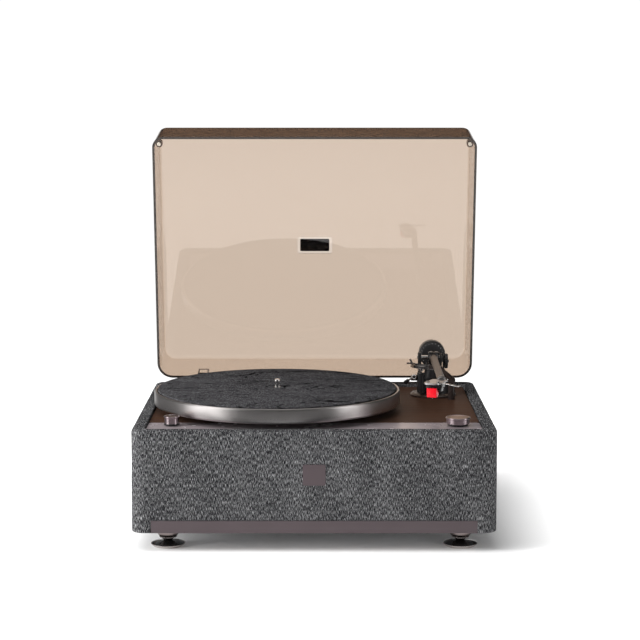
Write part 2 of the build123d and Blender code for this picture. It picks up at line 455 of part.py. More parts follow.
add("lid_shell", opened(lid))
plate = slab(-19.3, 19.3, BADGE_Y - 8.3, BADGE_Y + 8.3, LID_RIM + LID_H - 1.0, LID_RIM + LID_H + 0.3, 1.5)
add("lid_badge_plate", opened(plate))
add("lid_bumpers", *[opened(turned([(0, 0.35), (2.0, 0.35), (2.4, 0.9), (2.4, LID_RIM + 8), (0, LID_RIM + 8)], x, y)) for x, y in BUMP])
leaves, bases, pins, screws = [], [], [], []
for sx in (-1, 1):
    cx = sx * HINGE_X
    y0, y1 = LID_BACK - LID_T + 0.6, LID_BACK - LID_T + 2.5
    leaf = box(cx - 7, cx + 7, y0, y1, LID_RIM, 30) - box(cx - 5.1, cx + 5.1, y0 - 1, y1 + 1, 0, 28.2)
    for k in (-1, 1):
        a, b = sorted((cx + k * 5.1, cx + k * 7.0))
        leaf += cylx(HINGE_Y, HINGE_Z, 4.2, a, b)
    leaf -= cylx(HINGE_Y, HINGE_Z, 1.5 + CLEAR, cx - 10, cx + 10)
    leaves.append(opened(leaf))
    b = slab(cx - 12, cx + 12, HINGE_Y - 0.5, HINGE_Y + 15, 0, 1.6, 2)
    b += box(cx - 4.7, cx + 4.7, HINGE_Y - 0.4, HINGE_Y + 4.0, 0.5, HINGE_Z) + cylx(HINGE_Y, HINGE_Z, 4.0, cx - 4.7, cx + 4.7)
    b -= cylx(HINGE_Y, HINGE_Z, 1.5, cx - 10, cx + 10)
    for k in (-1, 1):
        b -= cyl(cx + k * 8, HINGE_Y + 11, 1.6, -1, 3)
        screws.append(turned([(0, 0), (1.6, 0), (1.6, 1.6), (2.9, 1.6), (2.6, 2.4), (1.4, 2.9), (0, 2.9)], cx + k * 8, HINGE_Y + 11))
    bases.append(b)
    pins.append(cylx(HINGE_Y, HINGE_Z, 1.5, cx - 7.6, cx + 7.6))
add("hinge_leaves", *leaves)
add("hinge_bases", *bases)
add("hinge_pins", *pins)
add("hinge_screws", *screws)

# ---------------------------------------------------------------- write, in the part's own frame
low_y = BOX_FRONT - 0.6
high_y = max(s.bounding_box().max.Y for s in PARTS["lid_shell"] + PARTS["lid_badge_plate"])
SHIFT_Y = round((low_y + high_y) / 2, 3)
print("shift Y", SHIFT_Y, "low", low_y, "high", round(high_y, 3))
MOVE = Location((0, -SHIFT_Y, STAND_H))
for name, solids in PARTS.items():
    flat = []
    for s in solids:
        flat.extend(s.solids())
    moved = [s.moved(MOVE) for s in flat]
    export_step(moved[0] if len(moved) == 1 else Compound(children=moved), "parts/" + name + ".step")
    if len(moved) != len(solids):
        print("NOTE", name, "solids", len(moved), "from", len(solids))
print(len(PARTS), "nodes")
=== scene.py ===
import math
import bpy
import bmesh
from mathutils import Matrix, Vector, noise


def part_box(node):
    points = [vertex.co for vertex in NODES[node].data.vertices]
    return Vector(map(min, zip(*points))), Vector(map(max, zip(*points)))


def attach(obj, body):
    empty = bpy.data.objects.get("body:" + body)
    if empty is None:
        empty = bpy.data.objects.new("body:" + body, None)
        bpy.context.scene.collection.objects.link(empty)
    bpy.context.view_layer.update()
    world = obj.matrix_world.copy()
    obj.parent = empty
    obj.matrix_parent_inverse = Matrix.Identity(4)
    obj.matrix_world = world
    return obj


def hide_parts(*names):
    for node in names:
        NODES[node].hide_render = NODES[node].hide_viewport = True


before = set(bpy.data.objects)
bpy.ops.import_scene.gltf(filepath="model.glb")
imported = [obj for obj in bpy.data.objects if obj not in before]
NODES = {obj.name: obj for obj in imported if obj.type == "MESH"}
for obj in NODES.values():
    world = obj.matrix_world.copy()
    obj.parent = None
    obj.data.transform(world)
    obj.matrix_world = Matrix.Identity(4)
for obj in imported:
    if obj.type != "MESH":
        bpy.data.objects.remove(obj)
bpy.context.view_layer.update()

# The part was drawn with X = 0 at the box's middle, Y = 0 175 mm behind its front face and
# Z = 0 at the top of its rim, in millimetres. SHIFT takes that to the row frame.
SHIFT_Y = -175.6 - 1000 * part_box("badge_plate")[0].y
TO_ROW = Matrix.Translation((0, -SHIFT_Y / 1000, 0.141)) @ Matrix.Scale(0.001, 4)


def row(x, y, z):
    return TO_ROW @ Vector((x, y, z))


# =====================================================================================
# shader helpers
# =====================================================================================
class Mat:
    """A material being wired: mat.n adds a node, mat.link joins sockets, mat.b is the shader."""

    def __init__(self, name, **shader):
        self.m = bpy.data.materials.new(name)
        self.m.use_nodes = True
        self.t = self.m.node_tree
        self.t.nodes.clear()
        self.out = self.t.nodes.new("ShaderNodeOutputMaterial")
        self.b = self.t.nodes.new("ShaderNodeBsdfPrincipled")
        self.t.links.new(self.b.outputs[0], self.out.inputs["Surface"])
        for k, v in shader.items():
            self.b.inputs[k.replace("_", " ")].default_value = v

    def n(self, kind, ins=None, **props):
        node = self.t.nodes.new("ShaderNode" + kind)
        for k, v in props.items():
            setattr(node, k, v)
        for k, v in (ins or {}).items():
            if hasattr(v, "is_output"):
                self.t.links.new(v, node.inputs[k])
            else:
                node.inputs[k].default_value = v
        return node

    def link(self, a, b):
        self.t.links.new(a, b)

    def coords(self, kind="Object", scale=(1, 1, 1), loc=(0, 0, 0), rot=(0, 0, 0)):
        tc = self.n("TexCoord")
        mp = self.n("Mapping", {"Vector": tc.outputs[kind], "Scale": scale, "Location": loc, "Rotation": rot})
        return mp.outputs[0]

    def noise(self, vec, scale=1.0, detail=2.0, rough=0.5, distort=0.0):
        return self.n("TexNoise", {"Vector": vec, "Scale": scale, "Detail": detail, "Roughness": rough, "Distortion": distort}).outputs[0]

    def ramp(self, fac, stops, interp="LINEAR"):
        r = self.n("ValToRGB", {"Fac": fac})
        r.color_ramp.interpolation = interp
        while len(r.color_ramp.elements) < len(stops):
            r.color_ramp.elements.new(0.5)
        for e, (p, c) in zip(r.color_ramp.elements, stops):
            e.position = p
            e.color = (*c, 1) if len(c) == 3 else c
        return r.outputs[0]

    def remap(self, fac, a, b, c, d):
        return self.n("MapRange", {"Value": fac, "From Min": a, "From Max": b, "To Min": c, "To Max": d}).outputs[0]

    def math(self, op, a, b=0.0, c=0.0):
        node = self.n("Math", operation=op)
        for i, v in enumerate((a, b, c)):
            if hasattr(v, "is_output"):
                self.link(v, node.inputs[i])
            else:
                node.inputs[i].default_value = v
        return node.outputs[0]

    def mix(self, fac, a, b, mode="MIX"):
        node = self.n("Mix", data_type="RGBA", blend_type=mode)
        for sock, v in ((node.inputs[0], fac), (node.inputs[6], a), (node.inputs[7], b)):
            if hasattr(v, "is_output"):
                self.link(v, sock)
            elif isinstance(v, (int, float)):
                sock.default_value = v
            else:
                sock.default_value = (*v, 1) if len(v) == 3 else v
        return node.outputs[2]

    def bump(self, height, strength=0.2, dist=0.0002, under=None):
        ins = {"Height": height, "Strength": strength, "Distance": dist}
        if under is not None:
            ins["Normal"] = under
        return self.n("Bump", ins).outputs[0]

    def set(self, **links):
        for k, v in links.items():
            self.link(v, self.b.inputs[k.replace("_", " ")])
        return self


def moulded(name, rgb, rough=0.45, vary=0.12, grain=1800.0, strength=0.12, spec=0.5, scuff=0.06):
    """Moulded plastic: fine spark texture, faint cloudiness and uneven gloss."""
    m = Mat(name, Specular_IOR_Level=spec)
    v = m.coords()
    big = m.noise(v, 22, 3)
    fine = m.noise(v, grain, 2, 0.6)
    lo = [c * (1 - vary) for c in rgb]
    hi = [min(1, c * (1 + vary)) for c in rgb]
    m.set(Base_Color=m.ramp(big, [(0.3, lo), (0.7, hi)]),
          Roughness=m.remap(m.noise(v, 60, 4), 0.3, 0.7, rough - scuff, rough + scuff),
          Normal=m.bump(fine, strength, 0.00006))
    return m.m


def metal(name, rgb, rough=0.3, lines=(900, 900, 40), strength=0.08, vary=0.08, aniso=0.0, coat=0.0):
    """Machined or drawn metal: fine lines along one direction, slightly uneven polish."""
    m = Mat(name, Metallic=1.0, Anisotropic=aniso, Coat_Weight=coat)
    v = m.coords(scale=lines)
    streak = m.noise(v, 1.0, 4, 0.65)
    cloud = m.noise(m.coords(), 30, 3)
    lo = [c * (1 - vary) for c in rgb]
    hi = [min(1, c * (1 + vary)) for c in rgb]
    m.set(Base_Color=m.ramp(cloud, [(0.3, lo), (0.7, hi)]),
          Roughness=m.remap(streak, 0.25, 0.75, max(0.03, rough * 0.8), rough * 1.25),
          Normal=m.bump(streak, strength, 0.00004))
    return m.m


def turned_metal(name, rgb, rough=0.3, pitch=0.0005, strength=0.1, vary=0.06, aniso=0.0, coat=0.0):
    """Metal turned on a lathe about the piece's own Z: rings of fine tool marks."""
    m = Mat(name, Metallic=1.0, Anisotropic=aniso, Anisotropic_Rotation=0.25, Coat_Weight=coat)
    tc = m.n("TexCoord")
    sep = m.n("SeparateXYZ", {"Vector": tc.outputs["Object"]})
    r2 = m.math("ADD", m.math("MULTIPLY", sep.outputs[0], sep.outputs[0]), m.math("MULTIPLY", sep.outputs[1], sep.outputs[1]))
    r = m.math("SQRT", r2)
    key = m.n("CombineXYZ", {"X": m.math("MULTIPLY", r, 1 / pitch), "Y": m.math("MULTIPLY", sep.outputs[2], 1 / pitch), "Z": 0.0})
    ring = m.noise(key.outputs[0], 1.0, 3, 0.7)
    cloud = m.noise(m.coords(), 25, 3)
    lo = [c * (1 - vary) for c in rgb]
    hi = [min(1, c * (1 + vary)) for c in rgb]
    m.set(Base_Color=m.ramp(cloud, [(0.3, lo), (0.7, hi)]),
          Roughness=m.remap(ring, 0.25, 0.75, max(0.03, rough * 0.82), rough * 1.2),
          Normal=m.bump(ring, strength, 0.00004))
    return m.m


# ---------------------------------------------------------------- the materials
def make_fabric():
    """Heather grey upholstery cloth: slubs run along the wrap, yarns cross them."""
    m = Mat("cloth_grey", Roughness=0.95, Specular_IOR_Level=0.04)
    slub = m.noise(m.coords("UV", (1500, 185, 1)), 1.0, 3.0, 0.7)
    slub2 = m.noise(m.coords("UV", (2300, 260, 1), loc=(7.3, 2.1, 0)), 1.0, 2.0, 0.6)
    fleck = m.noise(m.coords("UV", (1900, 900, 1), loc=(3.1, 9.7, 0)), 1.0, 2.0, 0.6)
    cloud = m.noise(m.coords("UV", (30, 9, 1)), 1.0, 3.0)
    mixv = m.math("ADD", m.math("MULTIPLY", slub, 0.46), m.math("ADD", m.math("MULTIPLY", slub2, 0.44), m.math("MULTIPLY", fleck, 0.10)))
    rim = m.math("ADD", m.math("MULTIPLY", m.noise(m.coords(scale=(1000, 210, 1000)), 1.0, 3.0, 0.7), 0.62), 0.186)
    upward = m.remap(m.n("SeparateXYZ", {0: m.n("NewGeometry").outputs["Normal"]}).outputs[2], 0.5, 0.9, 0.0, 1.0)
    mixv = m.math("ADD", m.math("MULTIPLY", mixv, m.math("SUBTRACT", 1.0, upward)), m.math("MULTIPLY", rim, upward))
    mixv = m.math("ADD", mixv, m.math("MULTIPLY", m.math("SUBTRACT", cloud, 0.5), 0.06))
    col = m.ramp(mixv, [(0.41, (0.005, 0.005, 0.006)), (0.47, (0.015, 0.015, 0.0165)), (0.505, (0.040, 0.040, 0.0425)), (0.565, (0.21, 0.21, 0.215)), (0.62, (0.44, 0.44, 0.44))])
    warp = m.n("TexWave", {"Vector": m.coords("UV"), "Scale": 360.0, "Distortion": 0.8, "Detail": 1.0}, wave_type="BANDS", bands_direction="X", wave_profile="SIN").outputs[1]
    weft = m.n("TexWave", {"Vector": m.coords("UV"), "Scale": 300.0, "Distortion": 0.8, "Detail": 1.0}, wave_type="BANDS", bands_direction="Y", wave_profile="SIN").outputs[1]
    h = m.math("ADD", m.math("MULTIPLY", mixv, 1.6), m.math("MULTIPLY", m.math("MULTIPLY", warp, weft), 0.5))
    m.set(Base_Color=col, Normal=m.bump(h, 0.6, 0.0004))
    return m.m


def make_mat_cloth():
    """Record mat: charcoal felt with darker wandering streaks."""
    m = Mat("mat_charcoal", Roughness=1.0, Specular_IOR_Level=0.0)
    wander = m.noise(m.coords(scale=(9, 20, 9), loc=(2, 5, 0)), 1.0, 3.0, 0.5, 1.0)
    streak = m.noise(m.coords(scale=(6, 17, 6)), 1.0, 3.5, 0.55, 1.3)
    line = m.math("ABSOLUTE", m.math("SUBTRACT", streak, 0.5))
    dark = m.remap(line, 0.003, 0.012, 0.16, 1.0)
    line2 = m.math("ABSOLUTE", m.math("SUBTRACT", m.math("FRACT", m.math("MULTIPLY", wander, 3.0)), 0.5))
    dark2 = m.remap(line2, 0.006, 0.035, 0.55, 1.0)
    fleck = m.noise(m.coords(scale=(900, 900, 900)), 1.0, 3.0, 0.75)
    cloud = m.noise(m.coords(scale=(14, 40, 14), loc=(3, 1, 0)), 1.0, 4.0, 0.6, 0.4)
    col = m.ramp(fleck, [(0.38, (0.010, 0.0098, 0.011)), (0.5, (0.032, 0.0312, 0.0338)), (0.62, (0.140, 0.138, 0.143))])
    both = m.math("MULTIPLY", dark, dark2)
    col = m.mix(1.0, col, m.n("CombineColor", {0: both, 1: both, 2: both}).outputs[0], "MULTIPLY")
    shade = m.remap(cloud, 0.3, 0.7, 0.82, 1.15)
    col = m.mix(1.0, col, m.n("CombineColor", {0: shade, 1: shade, 2: shade}).outputs[0], "MULTIPLY")
    h = m.math("ADD", m.math("MULTIPLY", fleck, 0.7), m.math("MULTIPLY", both, 0.6))
    m.set(Base_Color=col, Normal=m.bump(h, 0.5, 0.0004))
    return m.m


def make_deck():
    """Dark brown satin deck, with a faint grain across it."""
    m = Mat("deck_brown", Specular_IOR_Level=0.04)
    grain = m.noise(m.coords(scale=(5, 240, 5)), 1.0, 5.0, 0.6, 0.35)
    pore = m.noise(m.coords(scale=(60, 1400, 60)), 1.0, 3.0, 0.6)
    col = m.ramp(grain, [(0.3, (0.038, 0.018, 0.011)), (0.55, (0.054, 0.027, 0.017)), (0.75, (0.072, 0.037, 0.023))])
    m.set(Base_Color=col, Roughness=m.remap(grain, 0.3, 0.7, 0.42, 0.56), Normal=m.bump(pore, 0.1, 0.00006))
    return m.m


def make_acrylic():
    """Clear smoked acrylic: the tint deepens with the length of its path through the wall. The cover's front wall is
    given a darker base colour than the rest, painted shade for the deeper look of light crossing it at a slant, and the
    edge it closes on is satin."""
    m = Mat("acrylic_smoked", Transmission_Weight=1.0, IOR=1.49)
    haze = m.noise(m.coords(scale=(8, 8, 8)), 1.0, 3.0)
    tc = m.n("TexCoord")
    rel = m.n("VectorMath", {0: tc.outputs["Object"], 1: (0.0, -(158 - SHIFT_Y) / 1000, -0.1495)}, operation="ADD")
    tilt = math.radians(79.6)
    depth = m.n("VectorMath", {0: rel.outputs[0], 1: (0.0, math.sin(tilt), math.cos(tilt))}, operation="DOT_PRODUCT").outputs["Value"]   # metres from the hinge line towards the cover's top
    along = m.n("VectorMath", {0: rel.outputs[0], 1: (0.0, -math.cos(tilt), math.sin(tilt))}, operation="DOT_PRODUCT").outputs["Value"]   # metres from the hinge line towards the front wall
    # painted shade: the front wall gets a darker base colour than the rest of the cover, for the deeper look of light
    # crossing it at a slant
    wall = m.math("MULTIPLY", m.math("LESS_THAN", depth, 0.0625), m.math("GREATER_THAN", along, 0.317))
    edge = m.math("LESS_THAN", depth, -0.0049)
    m.set(Roughness=m.remap(haze, 0.3, 0.7, 0.004, 0.014), Base_Color=m.mix(wall, (1.0, 0.985, 0.975), (0.50, 0.47, 0.45)))
    satin = m.n("BsdfPrincipled", {"Base Color": (0.050, 0.038, 0.031, 1), "Roughness": 0.4})
    both = m.n("MixShader", {0: m.math("MULTIPLY", edge, 0.7)})
    m.link(m.b.outputs[0], both.inputs[1])
    m.link(satin.outputs[0], both.inputs[2])
    m.link(both.outputs[0], m.out.inputs["Surface"])
    va = m.n("VolumeAbsorption")
    va.inputs["Color"].default_value = (0.495, 0.275, 0.055, 1)
    va.inputs["Density"].default_value = 300.0
    m.link(va.outputs[0], m.out.inputs["Volume"])
    return m.m


def make_board():
    m = Mat("board_raw", Roughness=0.8, Specular_IOR_Level=0.25)
    fibre = m.noise(m.coords(scale=(160, 160, 160)), 1.0, 6.0, 0.7)
    fleck = m.noise(m.coords(scale=(900, 900, 900)), 1.0, 2.0)
    col = m.ramp(fibre, [(0.3, (0.20, 0.125, 0.066)), (0.7, (0.36, 0.24, 0.14))])
    m.set(Base_Color=col, Normal=m.bump(fleck, 0.25, 0.0002))
    return m.m


def make_paper():
    m = Mat("cone_paper", Roughness=0.85, Specular_IOR_Level=0.2)
    pulp = m.noise(m.coords(scale=(400, 400, 400)), 1.0, 5.0, 0.7)
    m.set(Base_Color=m.ramp(pulp, [(0.3, (0.018, 0.018, 0.019)), (0.7, (0.05, 0.048, 0.046))]), Normal=m.bump(pulp, 0.4, 0.0002))
    return m.m


def make_board_green():
    m = Mat("circuit_green", Roughness=0.4)
    tracks = m.n("TexBrick", {"Vector": m.coords(scale=(160, 160, 160)), "Color1": (0.02, 0.11, 0.045, 1), "Color2": (0.015, 0.085, 0.035, 1), "Mortar": (0.03, 0.17, 0.07, 1), "Mortar Size": 0.03})
    m.set(Base_Color=tracks.outputs[0], Roughness=m.remap(m.noise(m.coords(), 80, 3), 0.3, 0.7, 0.32, 0.5))
    return m.m


FABRIC = make_fabric()
MATTE_MAT = make_mat_cloth()
DECK = make_deck()
ACRYLIC = make_acrylic()
BOARD = make_board()
PAPER = make_paper()
CIRCUIT = make_board_green()
TAUPE = moulded("taupe_satin", (0.262, 0.224, 0.234), 0.24, 0.04, 1500, 0.05, 0.5)
TAUPE_DARK = moulded("taupe_plinth", (0.073, 0.055, 0.060), 0.42, 0.05, 1500, 0.07, 0.3)
BLACK = moulded("black_satin", (0.014, 0.0135, 0.014), 0.34, 0.15, 2200, 0.08)
BLACK_MATT = moulded("black_matt", (0.018, 0.017, 0.0175), 0.55, 0.15, 2200, 0.12)
GLOSS = moulded("black_gloss", (0.010, 0.0095, 0.010), 0.13, 0.1, 900, 0.03)
BROWN_BLACK = moulded("brown_black", (0.034, 0.022, 0.017), 0.3, 0.12, 1500, 0.06)
RED = moulded("cartridge_red", (0.66, 0.006, 0.016), 0.22, 0.05, 900, 0.03, 0.35)
WHITE_MARK = moulded("print_white", (0.75, 0.74, 0.73), 0.5, 0.03, 1500, 0.03)
RUBBER = moulded("rubber_black", (0.02, 0.02, 0.02), 0.8, 0.2, 900, 0.3)
RING_RUBBER = moulded("rubber_grey", (0.045, 0.04, 0.04), 0.6, 0.15, 900, 0.2)
PLATTER_METAL = turned_metal("platter_satin", (0.60, 0.575, 0.57), 0.30, 0.0004, 0.10)
STEEL = metal("steel_ground", (0.45, 0.44, 0.43), 0.32, (60, 900, 900))
DARK_STEEL = metal("steel_dark", (0.34, 0.32, 0.31), 0.2, (300, 300, 300), 0.03)
CHROME = metal("steel_polished", (0.76, 0.75, 0.74), 0.12, (300, 300, 300), 0.02)
REST_BROWN = moulded("rest_brown", (0.030, 0.022, 0.020), 0.3, 0.08, 1500, 0.06, 0.3)
FOOT_LIP = turned_metal("foot_lip", (0.55, 0.51, 0.50), 0.22, 0.0003, 0.05)
BASE_GREY = moulded("base_grey", (0.36, 0.36, 0.37), 0.6, 0.06, 900, 0.08)
BUMPER = moulded("bumper_clear", (0.50, 0.45, 0.38), 0.3, 0.05, 900, 0.05)
SILVER = metal("headshell_silver", (0.68, 0.66, 0.65), 0.34, (900, 60, 900), 0.05)
KNOB_METAL = turned_metal("knob_bronze", (0.64, 0.55, 0.575), 0.30, 0.0003, 0.03, aniso=0.9)
KNOB_TOP = turned_metal("knob_bronze_top", (0.34, 0.23, 0.185), 0.32, 0.0002, 0.12)
TUBE_METAL = metal("tube_grey_brown", (0.115, 0.10, 0.095), 0.33, (900, 40, 900), 0.05)
FOOT_METAL = turned_metal("foot_dark", (0.19, 0.16, 0.155), 0.20, 0.0003, 0.04)
BRONZE = metal("bush_bronze", (0.42, 0.27, 0.12), 0.45, (200, 200, 200), 0.1)

FINISH = {
    "cabinet_carcass": BOARD, "fabric_wrap": FABRIC, "base_panel": BASE_GREY, "front_plinth": TAUPE_DARK,
    "badge_plate": TAUPE_DARK, "corner_blocks": BOARD, "deck_panel": DECK, "control_strip": TAUPE,
    "sub_deck": BOARD, "bearing_housing": STEEL, "bearing_bush": BRONZE, "thrust_ball": CHROME,
    "spindle": CHROME, "platter": PLATTER_METAL, "platter_mat": MATTE_MAT, "motor_can": STEEL, "motor_shaft": STEEL,
    "motor_pulley": KNOB_METAL, "drive_belt": RUBBER, "amplifier_board": CIRCUIT, "volume_pot": STEEL,
    "selector_switch": STEEL, "rear_jack_plate": BLACK_MATT, "rca_jacks": CHROME, "aux_jack": BLACK,
    "dc_inlet": BLACK, "speaker_frames": BLACK_MATT, "speaker_cones": PAPER, "foot_cones": FOOT_METAL,
    "foot_rings": FOOT_LIP, "foot_discs": GLOSS, "base_screws": STEEL, "volume_knob": KNOB_METAL,
    "selector_knob": KNOB_METAL, "tonearm_flange": BROWN_BLACK, "tonearm_pillar": BLACK, "arm_rest": REST_BROWN,
    "cue_housing": BLACK, "antiskate_bracket": BLACK_MATT, "antiskate_dial": BLACK_MATT, "tonearm_yoke": BLACK,
    "pivot_axle": CHROME, "pivot_block": GLOSS, "arm_tube": TUBE_METAL, "rear_stub": CHROME,
    "counterweight": BLACK, "force_dial": BLACK_MATT, "headshell": SILVER, "cartridge": GLOSS,
    "stylus": RED, "cue_lever": GLOSS, "cue_platform": DARK_STEEL, "arm_clip": BROWN_BLACK,
    "lid_shell": ACRYLIC, "lid_badge_plate": GLOSS, "lid_bumpers": BUMPER, "hinge_leaves": BLACK,
    "hinge_bases": BLACK, "hinge_pins": STEEL, "hinge_screws": STEEL,
}


def smooth(me, angle=32):
    me.polygons.foreach_set("use_smooth", [True] * len(me.polygons))
    me.set_sharp_from_angle(angle=math.radians(angle))


for node, ob in NODES.items():
    finish = FINISH[node]
    if ob.material_slots:
        for s in ob.material_slots:
            s.material = finish
    else:
        ob.data.materials.append(finish)


# =====================================================================================
# mesh helpers, all in millimetres of the drawing frame until a piece is placed
# =====================================================================================
def soften(points, r, closed=True, n=3):
    """A polyline with its corners rounded to radius r, or less where an edge is short."""
    out = []
    m = len(points)
    for i, p in enumerate(points):
        if not closed and i in (0, m - 1):
            out.append(p)
            continue
        a, b, c = Vector(points[i - 1]), Vector(p), Vector(points[(i + 1) % m])
        u, v = (a - b), (c - b)
        lu, lv = u.length, v.length
        if lu < 1e-6 or lv < 1e-6:
            out.append(p)
            continue
        u, v = u / lu, v / lv
        cosang = max(-1, min(1, u.dot(v)))
        ang = math.acos(cosang)
        if ang > math.radians(172) or b.x < 1e-6:
            out.append(p)
            continue
        cut = min(r / math.tan(ang / 2), 0.42 * lu, 0.42 * lv)
        s, e = b + u * cut, b + v * cut
        for k in range(n + 1):
            t = k / n
            q = s * (1 - t) ** 2 + b * 2 * t * (1 - t) + e * t ** 2
            out.append((q.x, q.y))
    return out


def bm_lathe(profile, seg=96, wave=None):
    """Closed solid of (radius, height) points turned about Z. wave(angle, r, h) may move a radius."""
    bm = bmesh.new()
    rings = []
    for r, h in profile:
        if r < 1e-6:
            rings.append([bm.verts.new((0, 0, h))])
        else:
            ring = []
            for k in range(seg):
                a = 2 * math.pi * k / seg
                q = wave(a, r, h) if wave else r
                ring.append(bm.verts.new((q * math.cos(a), q * math.sin(a), h)))
            rings.append(ring)
    for i in range(len(rings)):
        a, b = rings[i], rings[(i + 1) % len(rings)]
        if len(a) == 1 and len(b) == 1:
            continue
        for k in range(seg):
            k2 = (k + 1) % seg
            if len(a) == 1:
                bm.faces.new((a[0], b[k], b[k2]))
            elif len(b) == 1:
                bm.faces.new((a[k], b[0], a[k2]))
            else:
                bm.faces.new((a[k], b[k], b[k2], a[k2]))
    bmesh.ops.recalc_face_normals(bm, faces=bm.faces[:])
    return bm


def bm_box(x0, x1, y0, y1, z0, z1, bevel=0.0, seg=2):
    bm = bmesh.new()
    bmesh.ops.create_cube(bm, size=1.0)
    for v in bm.verts:
        v.co = Vector(((x0 + x1) / 2 + v.co.x * (x1 - x0), (y0 + y1) / 2 + v.co.y * (y1 - y0), (z0 + z1) / 2 + v.co.z * (z1 - z0)))
    if bevel:
        bmesh.ops.bevel(bm, geom=bm.edges[:], offset=bevel, segments=seg, profile=0.6, affect="EDGES", clamp_overlap=True)
    return bm


def bm_prism(points, z0, z1, bevel=0.0, seg=2):
    bm = bmesh.new()
    low = [bm.verts.new((x, y, z0)) for x, y in points]
    high = [bm.verts.new((x, y, z1)) for x, y in points]
    bm.faces.new(low[::-1])
    bm.faces.new(high)
    n = len(points)
    for i in range(n):
        bm.faces.new((low[i], low[(i + 1) % n], high[(i + 1) % n], high[i]))
    bmesh.ops.recalc_face_normals(bm, faces=bm.faces[:])
    if bevel:
        sharp = [e for e in bm.edges if len(e.link_faces) == 2 and e.calc_face_angle(0) > math.radians(30)]
        bmesh.ops.bevel(bm, geom=sharp, offset=bevel, segments=seg, profile=0.6, affect="EDGES", clamp_overlap=True)
    return bm


def bm_tube(path, radii, seg=16):
    """Round tube along points; radii is one number or one per point."""
    bm = bmesh.new()
    pts = [Vector(p) for p in path]
    if not hasattr(radii, "__len__"):
        radii = [radii] * len(pts)
    rings = []
    side = None
    for i, p in enumerate(pts):
        d = (pts[min(i + 1, len(pts) - 1)] - pts[max(i - 1, 0)]).normalized()
        if side is None:
            side = d.orthogonal().normalized()
        side = (side - d * side.dot(d)).normalized()
        up = d.cross(side)
        rings.append([bm.verts.new(p + (side * math.cos(2 * math.pi * k / seg) + up * math.sin(2 * math.pi * k / seg)) * radii[i]) for k in range(seg)])
    for a, b in zip(rings, rings[1:]):
        for k in range(seg):
            bm.faces.new((a[k], a[(k + 1) % seg], b[(k + 1) % seg], b[k]))
    bm.faces.new(rings[0][::-1])
    bm.faces.new(rings[-1])
    bmesh.ops.recalc_face_normals(bm, faces=bm.faces[:])
    return bm


ALONG_X = Matrix.Rotation(math.radians(90), 4, "Y")      # a lathe's Z becomes X
ALONG_Y = Matrix.Rotation(math.radians(-90), 4, "X")     # a lathe's Z becomes Y


def T(x, y, z):
    return Matrix.Translation((x, y, z))


def R(deg, axis):
    return Matrix.Rotation(math.radians(deg), 4, axis)


def piece(name, parts, mats, body, replaces=(), angle=32, origin=None):
    """Joins (bmesh, matrix, material number) parts to one object that rides on a body. Its own origin and axes are
    those of the matrix origin, so its texture follows its axis."""
    base = TO_ROW @ (origin or Matrix.Identity(4))
    place = base.to_translation()
    rot = (origin or Matrix.Identity(4)).to_3x3().normalized().to_4x4()
    frame_m = Matrix.Translation(place) @ rot
    inv = frame_m.inverted()
    me = bpy.data.meshes.new(name)
    total = bmesh.new()
    for bm, m, k in parts:
        tmp = bpy.data.meshes.new("tmp")
        bm.to_mesh(tmp)
        bm.free()
        tmp.transform(inv @ TO_ROW @ m)
        tmp.polygons.foreach_set("material_index", [k] * len(tmp.polygons))
        total.from_mesh(tmp)
        bpy.data.meshes.remove(tmp)
    total.to_mesh(me)
    total.free()
    for m in mats:
        me.materials.append(m)
    smooth(me, angle)
    ob = bpy.data.objects.new(name, me)
    bpy.context.scene.collection.objects.link(ob)
    ob.matrix_world = frame_m
    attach(ob, body)
    if replaces:
        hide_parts(*replaces)
    return ob


# =====================================================================================
# fabric wrap: one cloth from under the box, up its sides, over the rim and down the lining
# =====================================================================================
def spread(stops, step):
    """Numbers from the first stop to the last, through every stop, about step apart."""
    out = [stops[0]]
    for a, b in zip(stops, stops[1:]):
        n = max(1, round(abs(b - a) / step))
        out += [a + (b - a) * i / n for i in range(1, n + 1)]
    return out


